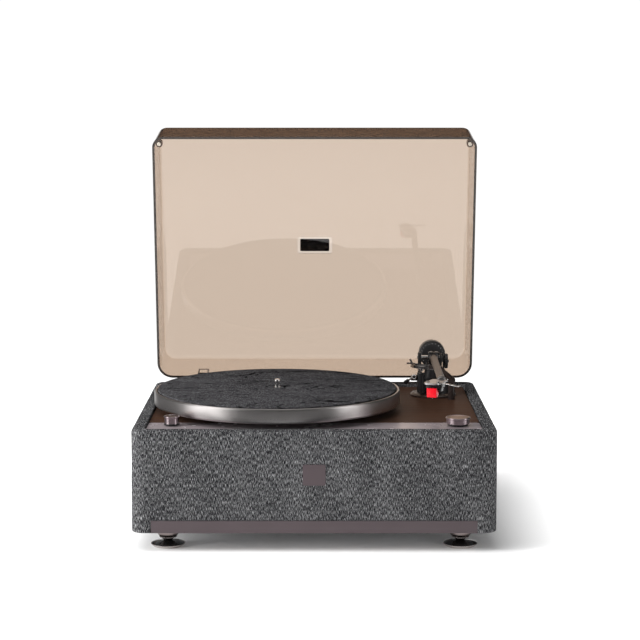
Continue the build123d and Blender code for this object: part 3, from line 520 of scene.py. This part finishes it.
def fabric_wrap():
    HX, FY, BY, RC = 210.0, -175.0, 180.0, 15.0
    IX, IFY, IBY, IRC = 195.0, -160.0, 153.0, 5.0
    step = 3.2
    cols = []                       # outer x, y, normal, inner x, y, inner normal, run along the edge

    def arc(cx, cy, icx, icy, a0, n=8):
        for k in range(n):
            a = math.radians(a0 + 90 * k / n)
            c, s = math.cos(a), math.sin(a)
            cols.append((cx + RC * c, cy + RC * s, c, s, icx + IRC * c, icy + IRC * s))

    ox, ix = HX - RC, IX - IRC
    front = spread([-ox, -187, -13, 13, 187, ox], step)
    side = spread([FY + RC, BY - RC], step)
    back = spread([ox, 75, -75, -ox], step)
    for x in front[:-1]:
        cols.append((x, FY, 0, -1, x * ix / ox, IFY))
    arc(ox, FY + RC, ix, IFY + IRC, -90)
    for y in side[:-1]:
        t = (y - side[0]) / (side[-1] - side[0])
        cols.append((HX, y, 1, 0, IX, (IFY + IRC) + t * ((IBY - IRC) - (IFY + IRC))))
    arc(ox, BY - RC, ix, IBY - IRC, 0)
    for x in back[:-1]:
        cols.append((x, BY, 0, 1, x * ix / ox, IBY))
    arc(-ox, BY - RC, -ix, IBY - IRC, 90)
    for y in side[::-1][:-1]:
        t = (y - side[0]) / (side[-1] - side[0])
        cols.append((-HX, y, -1, 0, -IX, (IFY + IRC) + t * ((IBY - IRC) - (IFY + IRC))))
    arc(-ox, FY + RC, -ix, IFY + IRC, 180)
    heights = spread([-117.4, -104, -98, -68, -3.2], step)
    bm = bmesh.new()
    uv = bm.loops.layers.uv.new("UVMap")
    grid, runs = [], []
    run = 0.0
    prev = None
    for cx, cy, nx, ny, jx, jy in cols:
        if prev is not None:
            run += math.hypot(cx - prev[0], cy - prev[1])
        prev = (cx, cy)
        pts = []

        def out(d, z):
            pts.append(Vector((cx - nx * d, cy - ny * d, z)))
        out(12.0, -118.9)
        out(7.0, -119.0)
        out(3.0, -119.0)
        out(1.0, -118.8)
        out(0.25, -118.2)
        for z in heights:
            out(0.0, z)
        for k in range(1, 6):
            a = math.radians(90 * k / 6)
            out(3.2 * (1 - math.cos(a)), -3.2 + 3.2 * math.sin(a))
        a0 = Vector((cx - nx * 3.2, cy - ny * 3.2, 0))
        b0 = Vector((jx + nx * 1.6, jy + ny * 1.6, 0))
        for k in range(7):
            t = k / 6
            p = a0.lerp(b0, t)
            p.z = -0.10 + 0.10 * math.sin(math.pi * t) if k not in (0, 6) else 0.0 - 0.06
            pts.append(p)
        for k in range(1, 5):
            a = math.radians(90 * k / 4)
            pts.append(Vector((jx + nx * (1.6 - 1.6 * math.sin(a)), jy + ny * (1.6 - 1.6 * math.sin(a)), -1.6 + 1.6 * math.cos(a))))
        for z in (-3.5, -5.5, -7.6):
            pts.append(Vector((jx, jy, z)))
        grid.append(pts)
        runs.append(run)
    total = run + math.hypot(cols[0][0] - cols[-1][0], cols[0][1] - cols[-1][1])
    rows = len(grid[0])
    vrun = []
    for pts in grid:
        acc, lst = 0.0, [0.0]
        for a, b in zip(pts, pts[1:]):
            acc += (b - a).length
            lst.append(acc)
        vrun.append(lst)
    # the cloth lies softly: it sinks a little, never out past its own thickness
    n = len(grid)
    verts = []
    for i in range(n):
        col = []
        for j in range(rows):
            p = grid[i][j]
            tx = grid[(i + 1) % n][j] - grid[i - 1][j]
            ty = grid[i][min(j + 1, rows - 1)] - grid[i][max(j - 1, 0)]
            nrm = tx.cross(ty)
            nrm = nrm.normalized() if nrm.length > 1e-9 else Vector((0, 0, 1))
            d = 0.10 + 0.16 * noise.noise(p * 0.035) + 0.08 * noise.noise(p * 0.11 + Vector((9, 2, 4)))
            d = min(max(d, 0.0), 0.35)
            col.append(bm.verts.new(p - nrm * d))
        verts.append(col)
    for i in range(n):
        i2 = (i + 1) % n
        for j in range(rows - 1):
            q = [grid[i][j], grid[i2][j], grid[i2][j + 1], grid[i][j + 1]]
            c = (q[0] + q[1] + q[2] + q[3]) / 4
            if abs(c.x) < 187 and c.z < -104 and c.y < -150:
                continue
            if abs(c.x) < 75 and -98 < c.z < -68 and c.y > 170:
                continue
            f = bm.faces.new((verts[i][j], verts[i2][j], verts[i2][j + 1], verts[i][j + 1]))
            u0, u1 = runs[i], runs[i2] if i2 else total
            for loop, (u, v) in zip(f.loops, ((u0, vrun[i][j]), (u1, vrun[i2][j]), (u1, vrun[i2][j + 1]), (u0, vrun[i][j + 1]))):
                on_side_rim = j >= 5 + len(heights) and abs(cols[i][2]) > 0.99
                loop[uv].uv = (v / 1000, u / 1000) if on_side_rim else (u / 1000, v / 1000)
    for v in [v for v in bm.verts if not v.link_faces]:
        bm.verts.remove(v)
    me = bpy.data.meshes.new("fabric_cover")
    bm.to_mesh(me)
    bm.free()
    me.transform(TO_ROW)
    me.materials.append(FABRIC)
    me.polygons.foreach_set("use_smooth", [True] * len(me.polygons))
    ob = bpy.data.objects.new("fabric_cover", me)
    bpy.context.scene.collection.objects.link(ob)
    so = ob.modifiers.new("thickness", "SOLIDIFY")
    so.thickness = 0.0009
    so.offset = -1.0
    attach(ob, "cabinet")
    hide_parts("fabric_wrap")
    return ob


fabric_wrap()

# =====================================================================================
# platter, mat and spindle
# =====================================================================================
PX, PY = -45.5, -11.5
platter_profile = soften([
    (4.05, 4.2), (13, 4.2), (13, 13), (17, 15.8), (88, 15.8), (88, 5.2), (92, 5.2), (92, 15.8),
    (138, 15.8), (141, 13), (141, 5.4), (141.6, 4.8), (147.6, 4.8), (149.4, 5.6), (150, 7.2),
    (150, 20.3), (149.0, 22.3), (147.4, 22.3), (146.6, 21.6), (146.4, 20.75), (4.05, 20.75)], 0.5)
piece("platter_disc", [(bm_lathe(platter_profile, 288), T(PX, PY, 0), 0)],
      [PLATTER_METAL], "platter", ["platter"], 25, origin=T(PX, PY, 0))
mat_profile = soften([(4.3, 20.9), (145.9, 20.9), (145.9, 23.4), (145.4, 24.0), (4.6, 24.0), (4.3, 23.6)], 0.45)
mat_piece = piece("mat_felt", [(bm_lathe(mat_profile, 240), T(PX, PY, 0), 0)], [MATTE_MAT], "platter", ["platter_mat"], 40, origin=T(PX, PY, 0))
pin_profile = soften([(0, -52), (3.6, -52), (4.0, -51.4), (4.0, 24.0), (3.6, 24.0), (3.6, 31.6), (3.2, 33.2), (2.0, 34.1), (0, 34.4)], 0.3, closed=False)
piece("spindle_pin", [(bm_lathe(pin_profile, 64), T(PX, PY, 0), 0)], [CHROME], "platter", ["spindle"], 30, origin=T(PX, PY, 0))

# =====================================================================================
# knobs and feet
# =====================================================================================
def knob_piece(name, node, body, x, y, r, h, rb, foot):
    profile = soften([(0, -12.6), (2.5, -12.6), (2.5, 0.6), (r - 5.5, 0.6), (r - 5.5, -2.0), (foot - 0.5, -2.0), (foot, -1.5), (foot, -0.6), (rb, 0.2),
                      (rb, h - 1.9), (r, h - 1.2), (r, h - 0.6), (r - 0.35, h), (r - 1.3, h), (r - 1.7, h - 0.35), (0, h - 0.35)], 0.35, closed=False)
    parts = [(bm_lathe(profile, 256), T(x, y, 0), 0)]
    # the spun top, let into the lip, and the pointer line on it
    top = soften([(0, h - 0.42), (r - 1.75, h - 0.42), (r - 1.75, h - 0.3), (r - 2.1, h - 0.22), (0, h - 0.27)], 0.08, closed=False)
    parts.append((bm_lathe(top, 192), T(x, y, 0), 1))
    parts.append((bm_box(-0.35, 0.35, r - 5.6, r - 2.4, h - 0.5, h - 0.21, 0.08), T(x, y, 0) @ R(150 if x > 0 else 30, "Z"), 2))
    # a black collar round the foot, under the bright body: painted shade, a dark ring standing in for the shadow gap
    # beneath the knob
    collar = soften([(foot - 1.2, -1.97), (foot + 0.05, -1.97), (foot + 0.18, -1.6), (foot + 0.18, -0.4), (foot - 0.05, -0.2), (foot - 1.2, -0.2)], 0.12)
    parts.append((bm_lathe(collar, 256), T(x, y, 0), 3))
    return piece(name, parts, [KNOB_METAL, KNOB_TOP, WHITE_MARK, BLACK], body, [node], 28, origin=T(x, y, 0))


knob_piece("knob_volume", "volume_knob", "volume_knob", 167.4, -125.4, 14.4, 7.2, 13.7, 12.2)
knob_piece("knob_selector", "selector_knob", "selector_knob", -166.1, -124.5, 9.3, 8.5, 8.4, 8.8)

FEET_AT = [(sx * 170.0, y) for sx in (-1, 1) for y in (-140.0, 145.0)]
bowls, rings, discs = [], [], []
for fx, fy in FEET_AT:
    bowl = soften([(0, -134.2), (4.4, -134.2), (5.4, -133.6), (8.5, -131.05), (8.25, -131.0), (8.25, -129.8), (10.1, -129.7), (11.6, -128.2), (12.4, -126.8), (12.6, -125.6), (12.6, -117), (4, -117), (4, -111.2), (0, -111.2)], 0.6, closed=False)
    bowls.append((bm_lathe(bowl, 128), T(fx, fy, 0), 0))
    rings.append((bm_lathe(soften([(8.3, -130.9), (9.9, -130.9), (10.35, -130.4), (9.9, -129.9), (8.3, -129.9)], 0.3), 128), T(fx, fy, 0), 0))
    discs.append((bm_lathe(soften([(0, -137.95), (19.3, -137.9), (18.6, -137.35), (14.0, -136.1), (7.0, -134.9), (4.6, -134.25), (0, -134.22)], 0.6, closed=False), 160), T(fx, fy, 0), 0))
    discs.append((bm_lathe(soften([(0, -141), (17.5, -141), (18.1, -140.4), (20, -138.5), (20, -137.95), (19.3, -137.8), (0, -137.9)], 0.25, closed=False), 160), T(fx, fy, 0), 1))
piece("feet_bowls", bowls, [FOOT_METAL], "cabinet", ["foot_cones"], 28)
piece("feet_rings", rings, [FOOT_LIP], "cabinet", ["foot_rings"], 28)
piece("feet_discs", discs, [GLOSS, FOOT_LIP], "cabinet", ["foot_discs"], 28)

# =====================================================================================
# tonearm
# =====================================================================================
ARM = T(151.5, 90, 46) @ R(-0.87, "Z") @ R(-1.0, "X")
HEAD = ARM @ T(0, -207, 0) @ R(-22, "Z")


def screw(r, h, slot_w=0.5, deg=20):
    """Slotted cheese-head screw standing on z = 0: a disc below, two half rounds above."""
    parts = [(bm_lathe(soften([(0, 0), (r, 0), (r, h * 0.5), (0, h * 0.5)], 0.05, closed=False), 40), R(deg, "Z"), 0)]
    n = 16
    a0 = math.asin(slot_w / 2 / r)
    half = [(r * 0.985 * math.cos(a0 + (math.pi - 2 * a0) * k / n), r * 0.985 * math.sin(a0 + (math.pi - 2 * a0) * k / n)) for k in range(n + 1)]
    parts.append((bm_prism(half, h * 0.45, h, min(0.12, h * 0.2)), R(deg, "Z"), 0))
    parts.append((bm_prism(half, h * 0.45, h, min(0.12, h * 0.2)), R(deg + 180, "Z"), 0))
    return parts


def placed(parts, m, k=None):
    return [(bm, m @ mm, kk if k is None else k) for bm, mm, kk in parts]


# counterweight: knurled band between two grooves, dished back
def knurl(a, q, z):
    return q - 0.28 * (0.5 + 0.5 * math.cos(84 * a)) if q > 16.9 and 33.0 < z < 46.4 else q


weight = soften([(3.6, 28.7), (12.6, 28.7), (13.2, 29.2), (16.0, 29.3), (17.0, 30.2), (17.0, 32.0), (16.4, 32.3), (16.4, 33.0), (17.0, 33.3),
                 (17.0, 46.1), (16.4, 46.4), (16.4, 47.0), (16.8, 47.3), (16.1, 48.5), (11.4, 48.5), (10.6, 47.7), (3.6, 47.7)], 0.25)
piece("arm_counterweight", [(bm_lathe(weight, 336, knurl), ARM @ ALONG_Y, 0)], [BLACK], "counterweight", ["counterweight"], 24, origin=ARM @ ALONG_Y)
ring = soften([(3.6, 24.9), (12.4, 24.9), (14.9, 25.7), (15.6, 26.7), (15.6, 28.2), (3.6, 28.2)], 0.25)
dial_parts = [(bm_lathe(ring, 240, lambda a, q, z: q - 0.16 * (0.5 + 0.5 * math.cos(60 * a)) if q > 15.4 else q), ARM @ ALONG_Y, 0)]
for i in range(20):
    tall = 1.7 if i % 5 == 0 else 1.0
    dial_parts.append((bm_box(-0.16, 0.16, -tall / 2, tall / 2, -0.06, 0.05, 0.02, 1),
                       ARM @ R(18 * i, "Y") @ T(0, 25.26, 13.75) @ R(17.7 - 90, "X") @ T(0, 0, 0), 1))
piece("arm_force_dial", dial_parts, [BLACK_MATT, WHITE_MARK], "force_dial", ["force_dial"], 24, origin=ARM @ ALONG_Y)

# headshell: bevelled plate, two slotted screws, bent finger lift, locking collar
def rounded_plate(x0, x1, y0, y1, r_front, r_back, n=6):
    pts = []
    for cx, cy, a0, r in ((x1 - r_back, y1 - r_back, 0, r_back), (x0 + r_back, y1 - r_back, 90, r_back), (x0 + r_front, y0 + r_front, 180, r_front), (x1 - r_front, y0 + r_front, 270, r_front)):
        for k in range(n + 1):
            a = math.radians(a0 + 90 * k / n)
            pts.append((cx + r * math.cos(a), cy + r * math.sin(a)))
    return pts


shell_parts = [(bm_prism(rounded_plate(-9.5, 9.5, -38.0, -3.0, 5.0, 3.0), -0.9, 0.9, 0.3, 3), HEAD, 0)]
lift = [(9.0, 0.10), (13.2, 0.05), (16.0, -0.35), (22.0, -1.30), (29.0, -2.35), (30.6, -2.35), (32.0, -1.75)]
for (xa, za), (xb, zb) in zip(lift, lift[1:]):
    ang = math.degrees(math.atan2(zb - za, xb - xa))
    shell_parts.append((bm_box(-0.15, math.hypot(xb - xa, zb - za) + 0.15, -1.75, 1.75, -0.55, 0.55, 0.22), HEAD @ T(xa, -27, za) @ R(-ang, "Y"), 0))
collar = soften([(0, -212.2), (3.8, -212.2), (3.9, -209.2), (5.3, -208.9), (5.4, -207.2), (3.35, -207.0), (3.35, -193), (0, -193)], 0.25, closed=False)
shell_parts.append((bm_lathe(collar, 96, lambda a, q, z: q - 0.15 * (0.5 + 0.5 * math.cos(36 * a)) if q > 5.2 else q), ARM @ ALONG_Y, 0))
piece("arm_headshell", shell_parts, [SILVER], "arm", ["headshell"], 30, origin=HEAD)

cart_parts = [(bm_box(-8.1, 8.1, -31, -11, -6.3, -0.95, 0.7, 3), HEAD, 0), (bm_box(-6.3, 6.3, -26.7, -11.3, -11.0, -6.1, 0.6, 3), HEAD, 0)]
for k in range(4):
    cart_parts.append((bm_lathe([(0, 0), (0.55, 0), (0.55, 3.4), (0, 3.4)], 16), HEAD @ T(-5.1 + 3.4 * k, -11.3, -8.6) @ ALONG_Y, 1))
for sx in (-6.35, 6.35):
    cart_parts += placed(screw(2.2, 1.2, 0.55, 25 if sx < 0 else -35), HEAD @ T(sx, -29, 0.9), 1)
    cart_parts.append((bm_lathe([(0, -1.3), (1.2, -1.3), (1.2, 0.95), (0, 0.95)], 24), HEAD @ T(sx, -29, 0), 1))
piece("arm_cartridge", cart_parts, [GLOSS, STEEL], "arm", ["cartridge"], 30, origin=HEAD)
sty_parts = [(bm_box(-5.9, 5.9, -34.8, -31.2, -16.2, -5.4, 0.9, 3), HEAD, 0), (bm_box(-5.6, 5.6, -31.6, -27.2, -16.1, -8.4, 0.4, 2), HEAD, 0),
             (bm_box(-3.6, 3.6, -28.0, -20.0, -15.4, -11.15, 0.5, 2), HEAD, 0),
             (bm_box(-3.6, 3.6, -34.98, -34.6, -12.6, -8.2, 0.18, 2), HEAD, 0)]
sty_parts.append((bm_tube([(0, -30.5, -16.0), (0, -31.2, -16.9), (0, -31.6, -17.4)], [0.45, 0.38, 0.3], 12), HEAD, 1))
sty_parts.append((bm_lathe([(0, -0.55), (0.12, -0.5), (0.32, 0.1), (0, 0.15)], 16), HEAD @ T(0, -31.6, -17.35), 1))
piece("arm_stylus", sty_parts, [RED, CHROME], "arm", ["stylus"], 30, origin=HEAD)

# tube: slim taper with a fixing ring at the block
tube = soften([(3.5, -207.0), (4.35, -207.0), (4.4, -205.5), (4.75, -12.0), (5.5, -11.6), (5.5, -9.2), (4.75, -8.9), (4.75, -8.1), (3.5, -8.1)], 0.2)
piece("arm_tube_turned", [(bm_lathe(tube, 96), ARM @ ALONG_Y, 0)], [TUBE_METAL], "arm", ["arm_tube"], 28, origin=ARM @ ALONG_Y)
block_parts = [(bm_box(144.5, 158.5, 79, 100, 38.5, 53.5, 1.6, 4), Matrix.Identity(4), 0)]
block_parts += placed(screw(1.7, 0.5, 0.4, 40), T(148.2, 84.0, 53.4), 1)
block_parts += placed(screw(1.7, 0.5, 0.4, -15), T(154.8, 84.0, 53.4), 1)
piece("arm_pivot_block", block_parts, [GLOSS, STEEL], "arm", ["pivot_block"], 30)
axle_parts = [(bm_lathe(soften([(0, 131.0), (2.2, 131.0), (2.2, 162.9), (0, 162.9)], 0.15, closed=False), 48), T(0, 90, 46) @ ALONG_X, 0)]
piece("arm_axle", axle_parts, [CHROME], "arm", ["pivot_axle"], 30)

# anti-skating dial: lobed grip, ticks on its face
dial_profile = soften([(2.1, 166.3), (9.5, 166.3), (9.5, 169.4), (8.8, 170.1), (6.4, 170.1), (6.0, 169.7), (2.1, 169.7)], 0.2)


def lobes(a, q, z):
    return q - 0.55 * max(0.0, math.cos(10 * a)) ** 6 if q > 8.7 else q


anti = [(bm_lathe(dial_profile, 240, lobes), T(0, 90, 40.8) @ ALONG_X, 0)]
for i in range(8):
    anti.append((bm_box(-0.55, 0.55, -0.15, 0.15, -0.05, 0.06, 0.02, 1), T(170.1, 90, 40.8) @ R(45 * i + 11, "X") @ T(0, 0, 7.6) @ R(90, "Y"), 1))
piece("antiskate_wheel", anti, [BLACK_MATT, WHITE_MARK], "antiskate_dial", ["antiskate_dial"], 26, origin=T(0, 90, 40.8) @ ALONG_X)

# cue lever: hub, rod and a ribbed grip
LEVER = T(126, 66.8, 24) @ R(148, "Y") @ ALONG_X
lever_parts = [(bm_lathe(soften([(1.58, 64.1), (3.2, 64.1), (3.3, 64.6), (3.3, 69.2), (3.2, 69.6), (1.58, 69.6)], 0.2), 48), T(126, 0, 24) @ ALONG_Y, 1),
               (bm_lathe([(0, 2.8), (1.25, 2.8), (1.25, 9.4), (0, 9.4)], 24), LEVER, 1)]
grip = [(0, 7.75), (1.9, 7.75), (2.3, 8.2)]
for k in range(4):
    z = 8.6 + 1.25 * k
    grip += [(2.4, z), (2.4, z + 0.7), (2.05, z + 0.85), (2.05, z + 1.1)]
grip += [(2.35, 13.7), (1.7, 14.25), (0, 14.28)]
lever_parts.append((bm_lathe(grip, 40), LEVER, 0))
piece("cue_lever_grip", lever_parts, [GLOSS, CHROME], "cue_lever", ["cue_lever"], 30)

# =====================================================================================
# printed marks, sockets and hinge screws
# =====================================================================================
piece("print_marks", [(bm_box(-2.2, 2.2, -0.45, 0.45, -0.1, 0.04), T(-140.4, -125.9, -3), 0), (bm_lathe([(0, -0.1), (0.8, -0.1), (0.8, 0.04), (0, 0.04)], 24), T(-149.7, -136.3, -3), 0)],
      [WHITE_MARK], "cabinet", (), 40)
jacks = []
for rx, colour in ((-52.0, 1), (-34.0, 2)):
    m = T(rx, 0, -83) @ ALONG_Y
    jacks.append((bm_lathe(soften([(3.1, 179.9), (4.15, 179.9), (4.15, 188.7), (3.9, 189.0), (3.4, 189.0), (3.1, 188.7)], 0.12), 64), m, 0))
    jacks.append((bm_lathe(soften([(1.7, 178.2), (3.15, 178.2), (3.15, 187.9), (1.7, 187.9)], 0.1), 48), m, colour))
    jacks.append((bm_lathe(soften([(1.7, 177.7), (4.6, 177.7), (4.6, 180.4), (4.2, 180.8), (1.7, 180.8)], 0.1), 64), m, colour))
    jacks.append((bm_box(rx - 7, rx + 7, 167, 177.6, -90, -76, 0.5), Matrix.Identity(4), 3))
piece("phono_sockets", jacks, [CHROME, RED, WHITE_MARK, BLACK_MATT], "cabinet", ["rca_jacks"], 30)
heads = []
for sx in (-1, 1):
    for k in (-1, 1):
        x, y = sx * 147.0 + k * 8, 169.0
        heads.append((bm_lathe([(0, 0.02), (1.55, 0.02), (1.55, 1.7), (0, 1.7)], 24), T(x, y, 0), 0))
        heads += placed(screw(2.85, 1.28, 0.55, 30 * k + 15), T(x, y, 1.62))
piece("hinge_screw_heads", heads, [STEEL], "cabinet", ["hinge_screws"], 30)

# =====================================================================================
# camera, floor and lights
# =====================================================================================
cam_data = bpy.data.cameras.new("photo_camera")
cam = bpy.data.objects.new("photo_camera", cam_data)
bpy.context.scene.collection.objects.link(cam)
cam_data.sensor_width = 36.0
cam_data.lens = 1854.61 / 640 * 36
cam_data.shift_x = 0.0022
cam_data.shift_y = -0.1
cam_data.clip_end = 200
cam.location = (0.005069, (-2259.299 - SHIFT_Y) / 1000, (393.201 + 141) / 1000)
cam.rotation_euler = (math.radians(90 - 5.293), 0, 0)
bpy.context.scene.camera = cam

floor_mesh = bpy.data.meshes.new("floor")
floor_mesh.from_pydata([(-40, -40, 0), (40, -40, 0), (40, 80, 0), (-40, 80, 0)], [], [(0, 1, 2, 3)])
floor = bpy.data.objects.new("floor", floor_mesh)
bpy.context.scene.collection.objects.link(floor)
fm = Mat("floor_white", Roughness=0.9, Specular_IOR_Level=0.0)
paper = fm.noise(fm.coords(), 3.0, 2.0)
fm.set(Base_Color=fm.ramp(paper, [(0.3, (0.87, 0.87, 0.87)), (0.7, (0.89, 0.89, 0.89))]))
pos = fm.n("NewGeometry")
flat = fm.n("VectorMath", {0: pos.outputs["Position"], 1: (1.0, 1.0, 0.0)}, operation="MULTIPLY")
dist = fm.n("VectorMath", {0: flat.outputs[0]}, operation="LENGTH").outputs["Value"]
# the sheet under the player runs out into an evenly lit white sweep
sweep = fm.n("Emission")
sweep.inputs["Strength"].default_value = 1.04
side = fm.n("SeparateXYZ", {0: fm.n("VectorMath", {0: pos.outputs["Position"]}, operation="ABSOLUTE").outputs[0]})
# painted light and shade: the sheet also glows, barely at the box's footprint and up to 0.62 ten centimetres clear of
# it, lightening the box's cast shadow while the shade under the box stays dark
clear = fm.math("MAXIMUM", fm.math("SUBTRACT", side.outputs[0], 0.205), fm.math("SUBTRACT", side.outputs[1], 0.175))
far = fm.n("MixShader", {0: fm.remap(dist, 0.75, 1.35, 0.0, 1.0)})
lift = fm.n("Emission", {"Strength": fm.remap(clear, 0.0, 0.10, 0.02, 0.62)})      # the sheet is lit past white
sheet = fm.n("AddShader")
fm.link(fm.b.outputs[0], sheet.inputs[0])
fm.link(lift.outputs[0], sheet.inputs[1])
fm.link(sheet.outputs[0], far.inputs[1])
fm.link(sweep.outputs[0], far.inputs[2])
# a glossy reflection that leaves the sheet finds the studio beyond it
lp = fm.n("LightPath")
gone = fm.n("BsdfTransparent")
low = fm.math("LESS_THAN", fm.math("SUBTRACT", lp.outputs["Ray Length"], dist), 0.02)      # from the platter or the arm, not from the cover
leave = fm.math("MULTIPLY", fm.math("MULTIPLY", lp.outputs["Is Glossy Ray"], low), fm.math("GREATER_THAN", dist, 0.52))
mx = fm.n("MixShader", {0: leave})
fm.link(far.outputs[0], mx.inputs[1])
fm.link(gone.outputs[0], mx.inputs[2])
fm.link(mx.outputs[0], fm.out.inputs["Surface"])
floor_mesh.materials.append(fm.m)

world = bpy.data.worlds.new("studio")
bpy.context.scene.world = world
world.use_nodes = True
wt = world.node_tree
wt.nodes.clear()
wout = wt.nodes.new("ShaderNodeOutputWorld")


def wn(kind, ins=None, **props):
    node = wt.nodes.new("ShaderNode" + kind)
    for k, v in props.items():
        setattr(node, k, v)
    for k, v in (ins or {}).items():
        if hasattr(v, "is_output"):
            wt.links.new(v, node.inputs[k])
        else:
            node.inputs[k].default_value = v
    return node


def wmath(op, a, b=0.0, c=0.0):
    return wn("Math", {0: a, 1: b, 2: c}, operation=op).outputs[0]


def window(value, lo, hi, soft):
    """1 between lo and hi, falling to 0 over soft on each side."""
    up = wn("MapRange", {"Value": value, "From Min": lo - soft, "From Max": lo, "To Min": 0.0, "To Max": 1.0}).outputs[0]
    down = wn("MapRange", {"Value": value, "From Min": hi, "From Max": hi + soft, "To Min": 1.0, "To Max": 0.0}).outputs[0]
    return wmath("MULTIPLY", up, down)


wsep = wn("SeparateXYZ", {0: wn("TexCoord").outputs["Generated"]})
azimuth = wmath("MULTIPLY", wmath("ARCTAN2", wsep.outputs[0], wmath("MULTIPLY", wsep.outputs[1], -1.0)), 57.29578)   # 0 in front, + to the right
height = wmath("MULTIPLY", wmath("ARCSINE", wsep.outputs[2]), 57.29578)
screens = [                     # azimuth range, height range, softness, brightness
    (-80, -57, -45, 38, 14, 2.1),      # tall softbox, left of the camera
    (-150, -104, -45, 20, 14, 0.10),   # its spill
    (66, 81, -45, 34, 8, 1.9),         # narrower one to the right
    (-400, -160, -45, 2, 7, 0.9),      # white sweep behind
    (160, 400, -45, 2, 7, 0.9),
    (-400, 400, 62, 100, 10, 0.7),     # scrim overhead
]
glow = 0.04
for a0, a1, h0, h1, soft, power in screens:
    patch = wmath("MULTIPLY", window(azimuth, a0, a1, soft), window(height, h0, h1, soft))
    glow = wmath("ADD", wmath("MULTIPLY", patch, power), glow)
wlp = wn("LightPath")
studio = wn("Background", {"Color": (1.0, 0.985, 0.975, 1), "Strength": glow})
ambient = wn("Background", {"Color": (1, 1, 1, 1), "Strength": 0.29})
white = wn("Background", {"Color": (1, 1, 1, 1), "Strength": 1.04})
m1 = wn("MixShader", {0: wlp.outputs["Is Glossy Ray"]})
wt.links.new(ambient.outputs[0], m1.inputs[1])
wt.links.new(studio.outputs[0], m1.inputs[2])
seen = wmath("MAXIMUM", wlp.outputs["Is Camera Ray"], wlp.outputs["Is Transmission Ray"])
m2 = wn("MixShader", {0: seen})
wt.links.new(m1.outputs[0], m2.inputs[1])
wt.links.new(white.outputs[0], m2.inputs[2])
wt.links.new(m2.outputs[0], wout.inputs["Surface"])


def softbox(name, loc, target, size, power, colour=(1, 1, 1)):
    """Soft lamp; what the gloss shows of it is painted in the world, so the lamp itself stays out of reflections."""
    d = bpy.data.lights.new(name, "AREA")
    d.shape = "RECTANGLE"
    d.size, d.size_y = size
    d.energy = power
    d.color = colour
    o = bpy.data.objects.new(name, d)
    bpy.context.scene.collection.objects.link(o)
    o.location = loc
    o.rotation_euler = (Vector(target) - Vector(loc)).to_track_quat("-Z", "Y").to_euler()
    o.visible_glossy = False
    o.visible_transmission = False
    return o


softbox("key_left", (-2.3, -0.8, 1.0), (0, 0, 0.12), (0.9, 1.5), 84)
softbox("fill_right", (1.6, -1.7, 0.9), (0, 0, 0.1), (0.9, 1.4), 8)
softbox("overhead", (-0.8, -0.1, 2.4), (0, 0, 0.0), (2.4, 2.4), 48)

bpy.context.scene.view_settings.view_transform = "Standard"
bpy.context.scene.view_settings.look = "None"
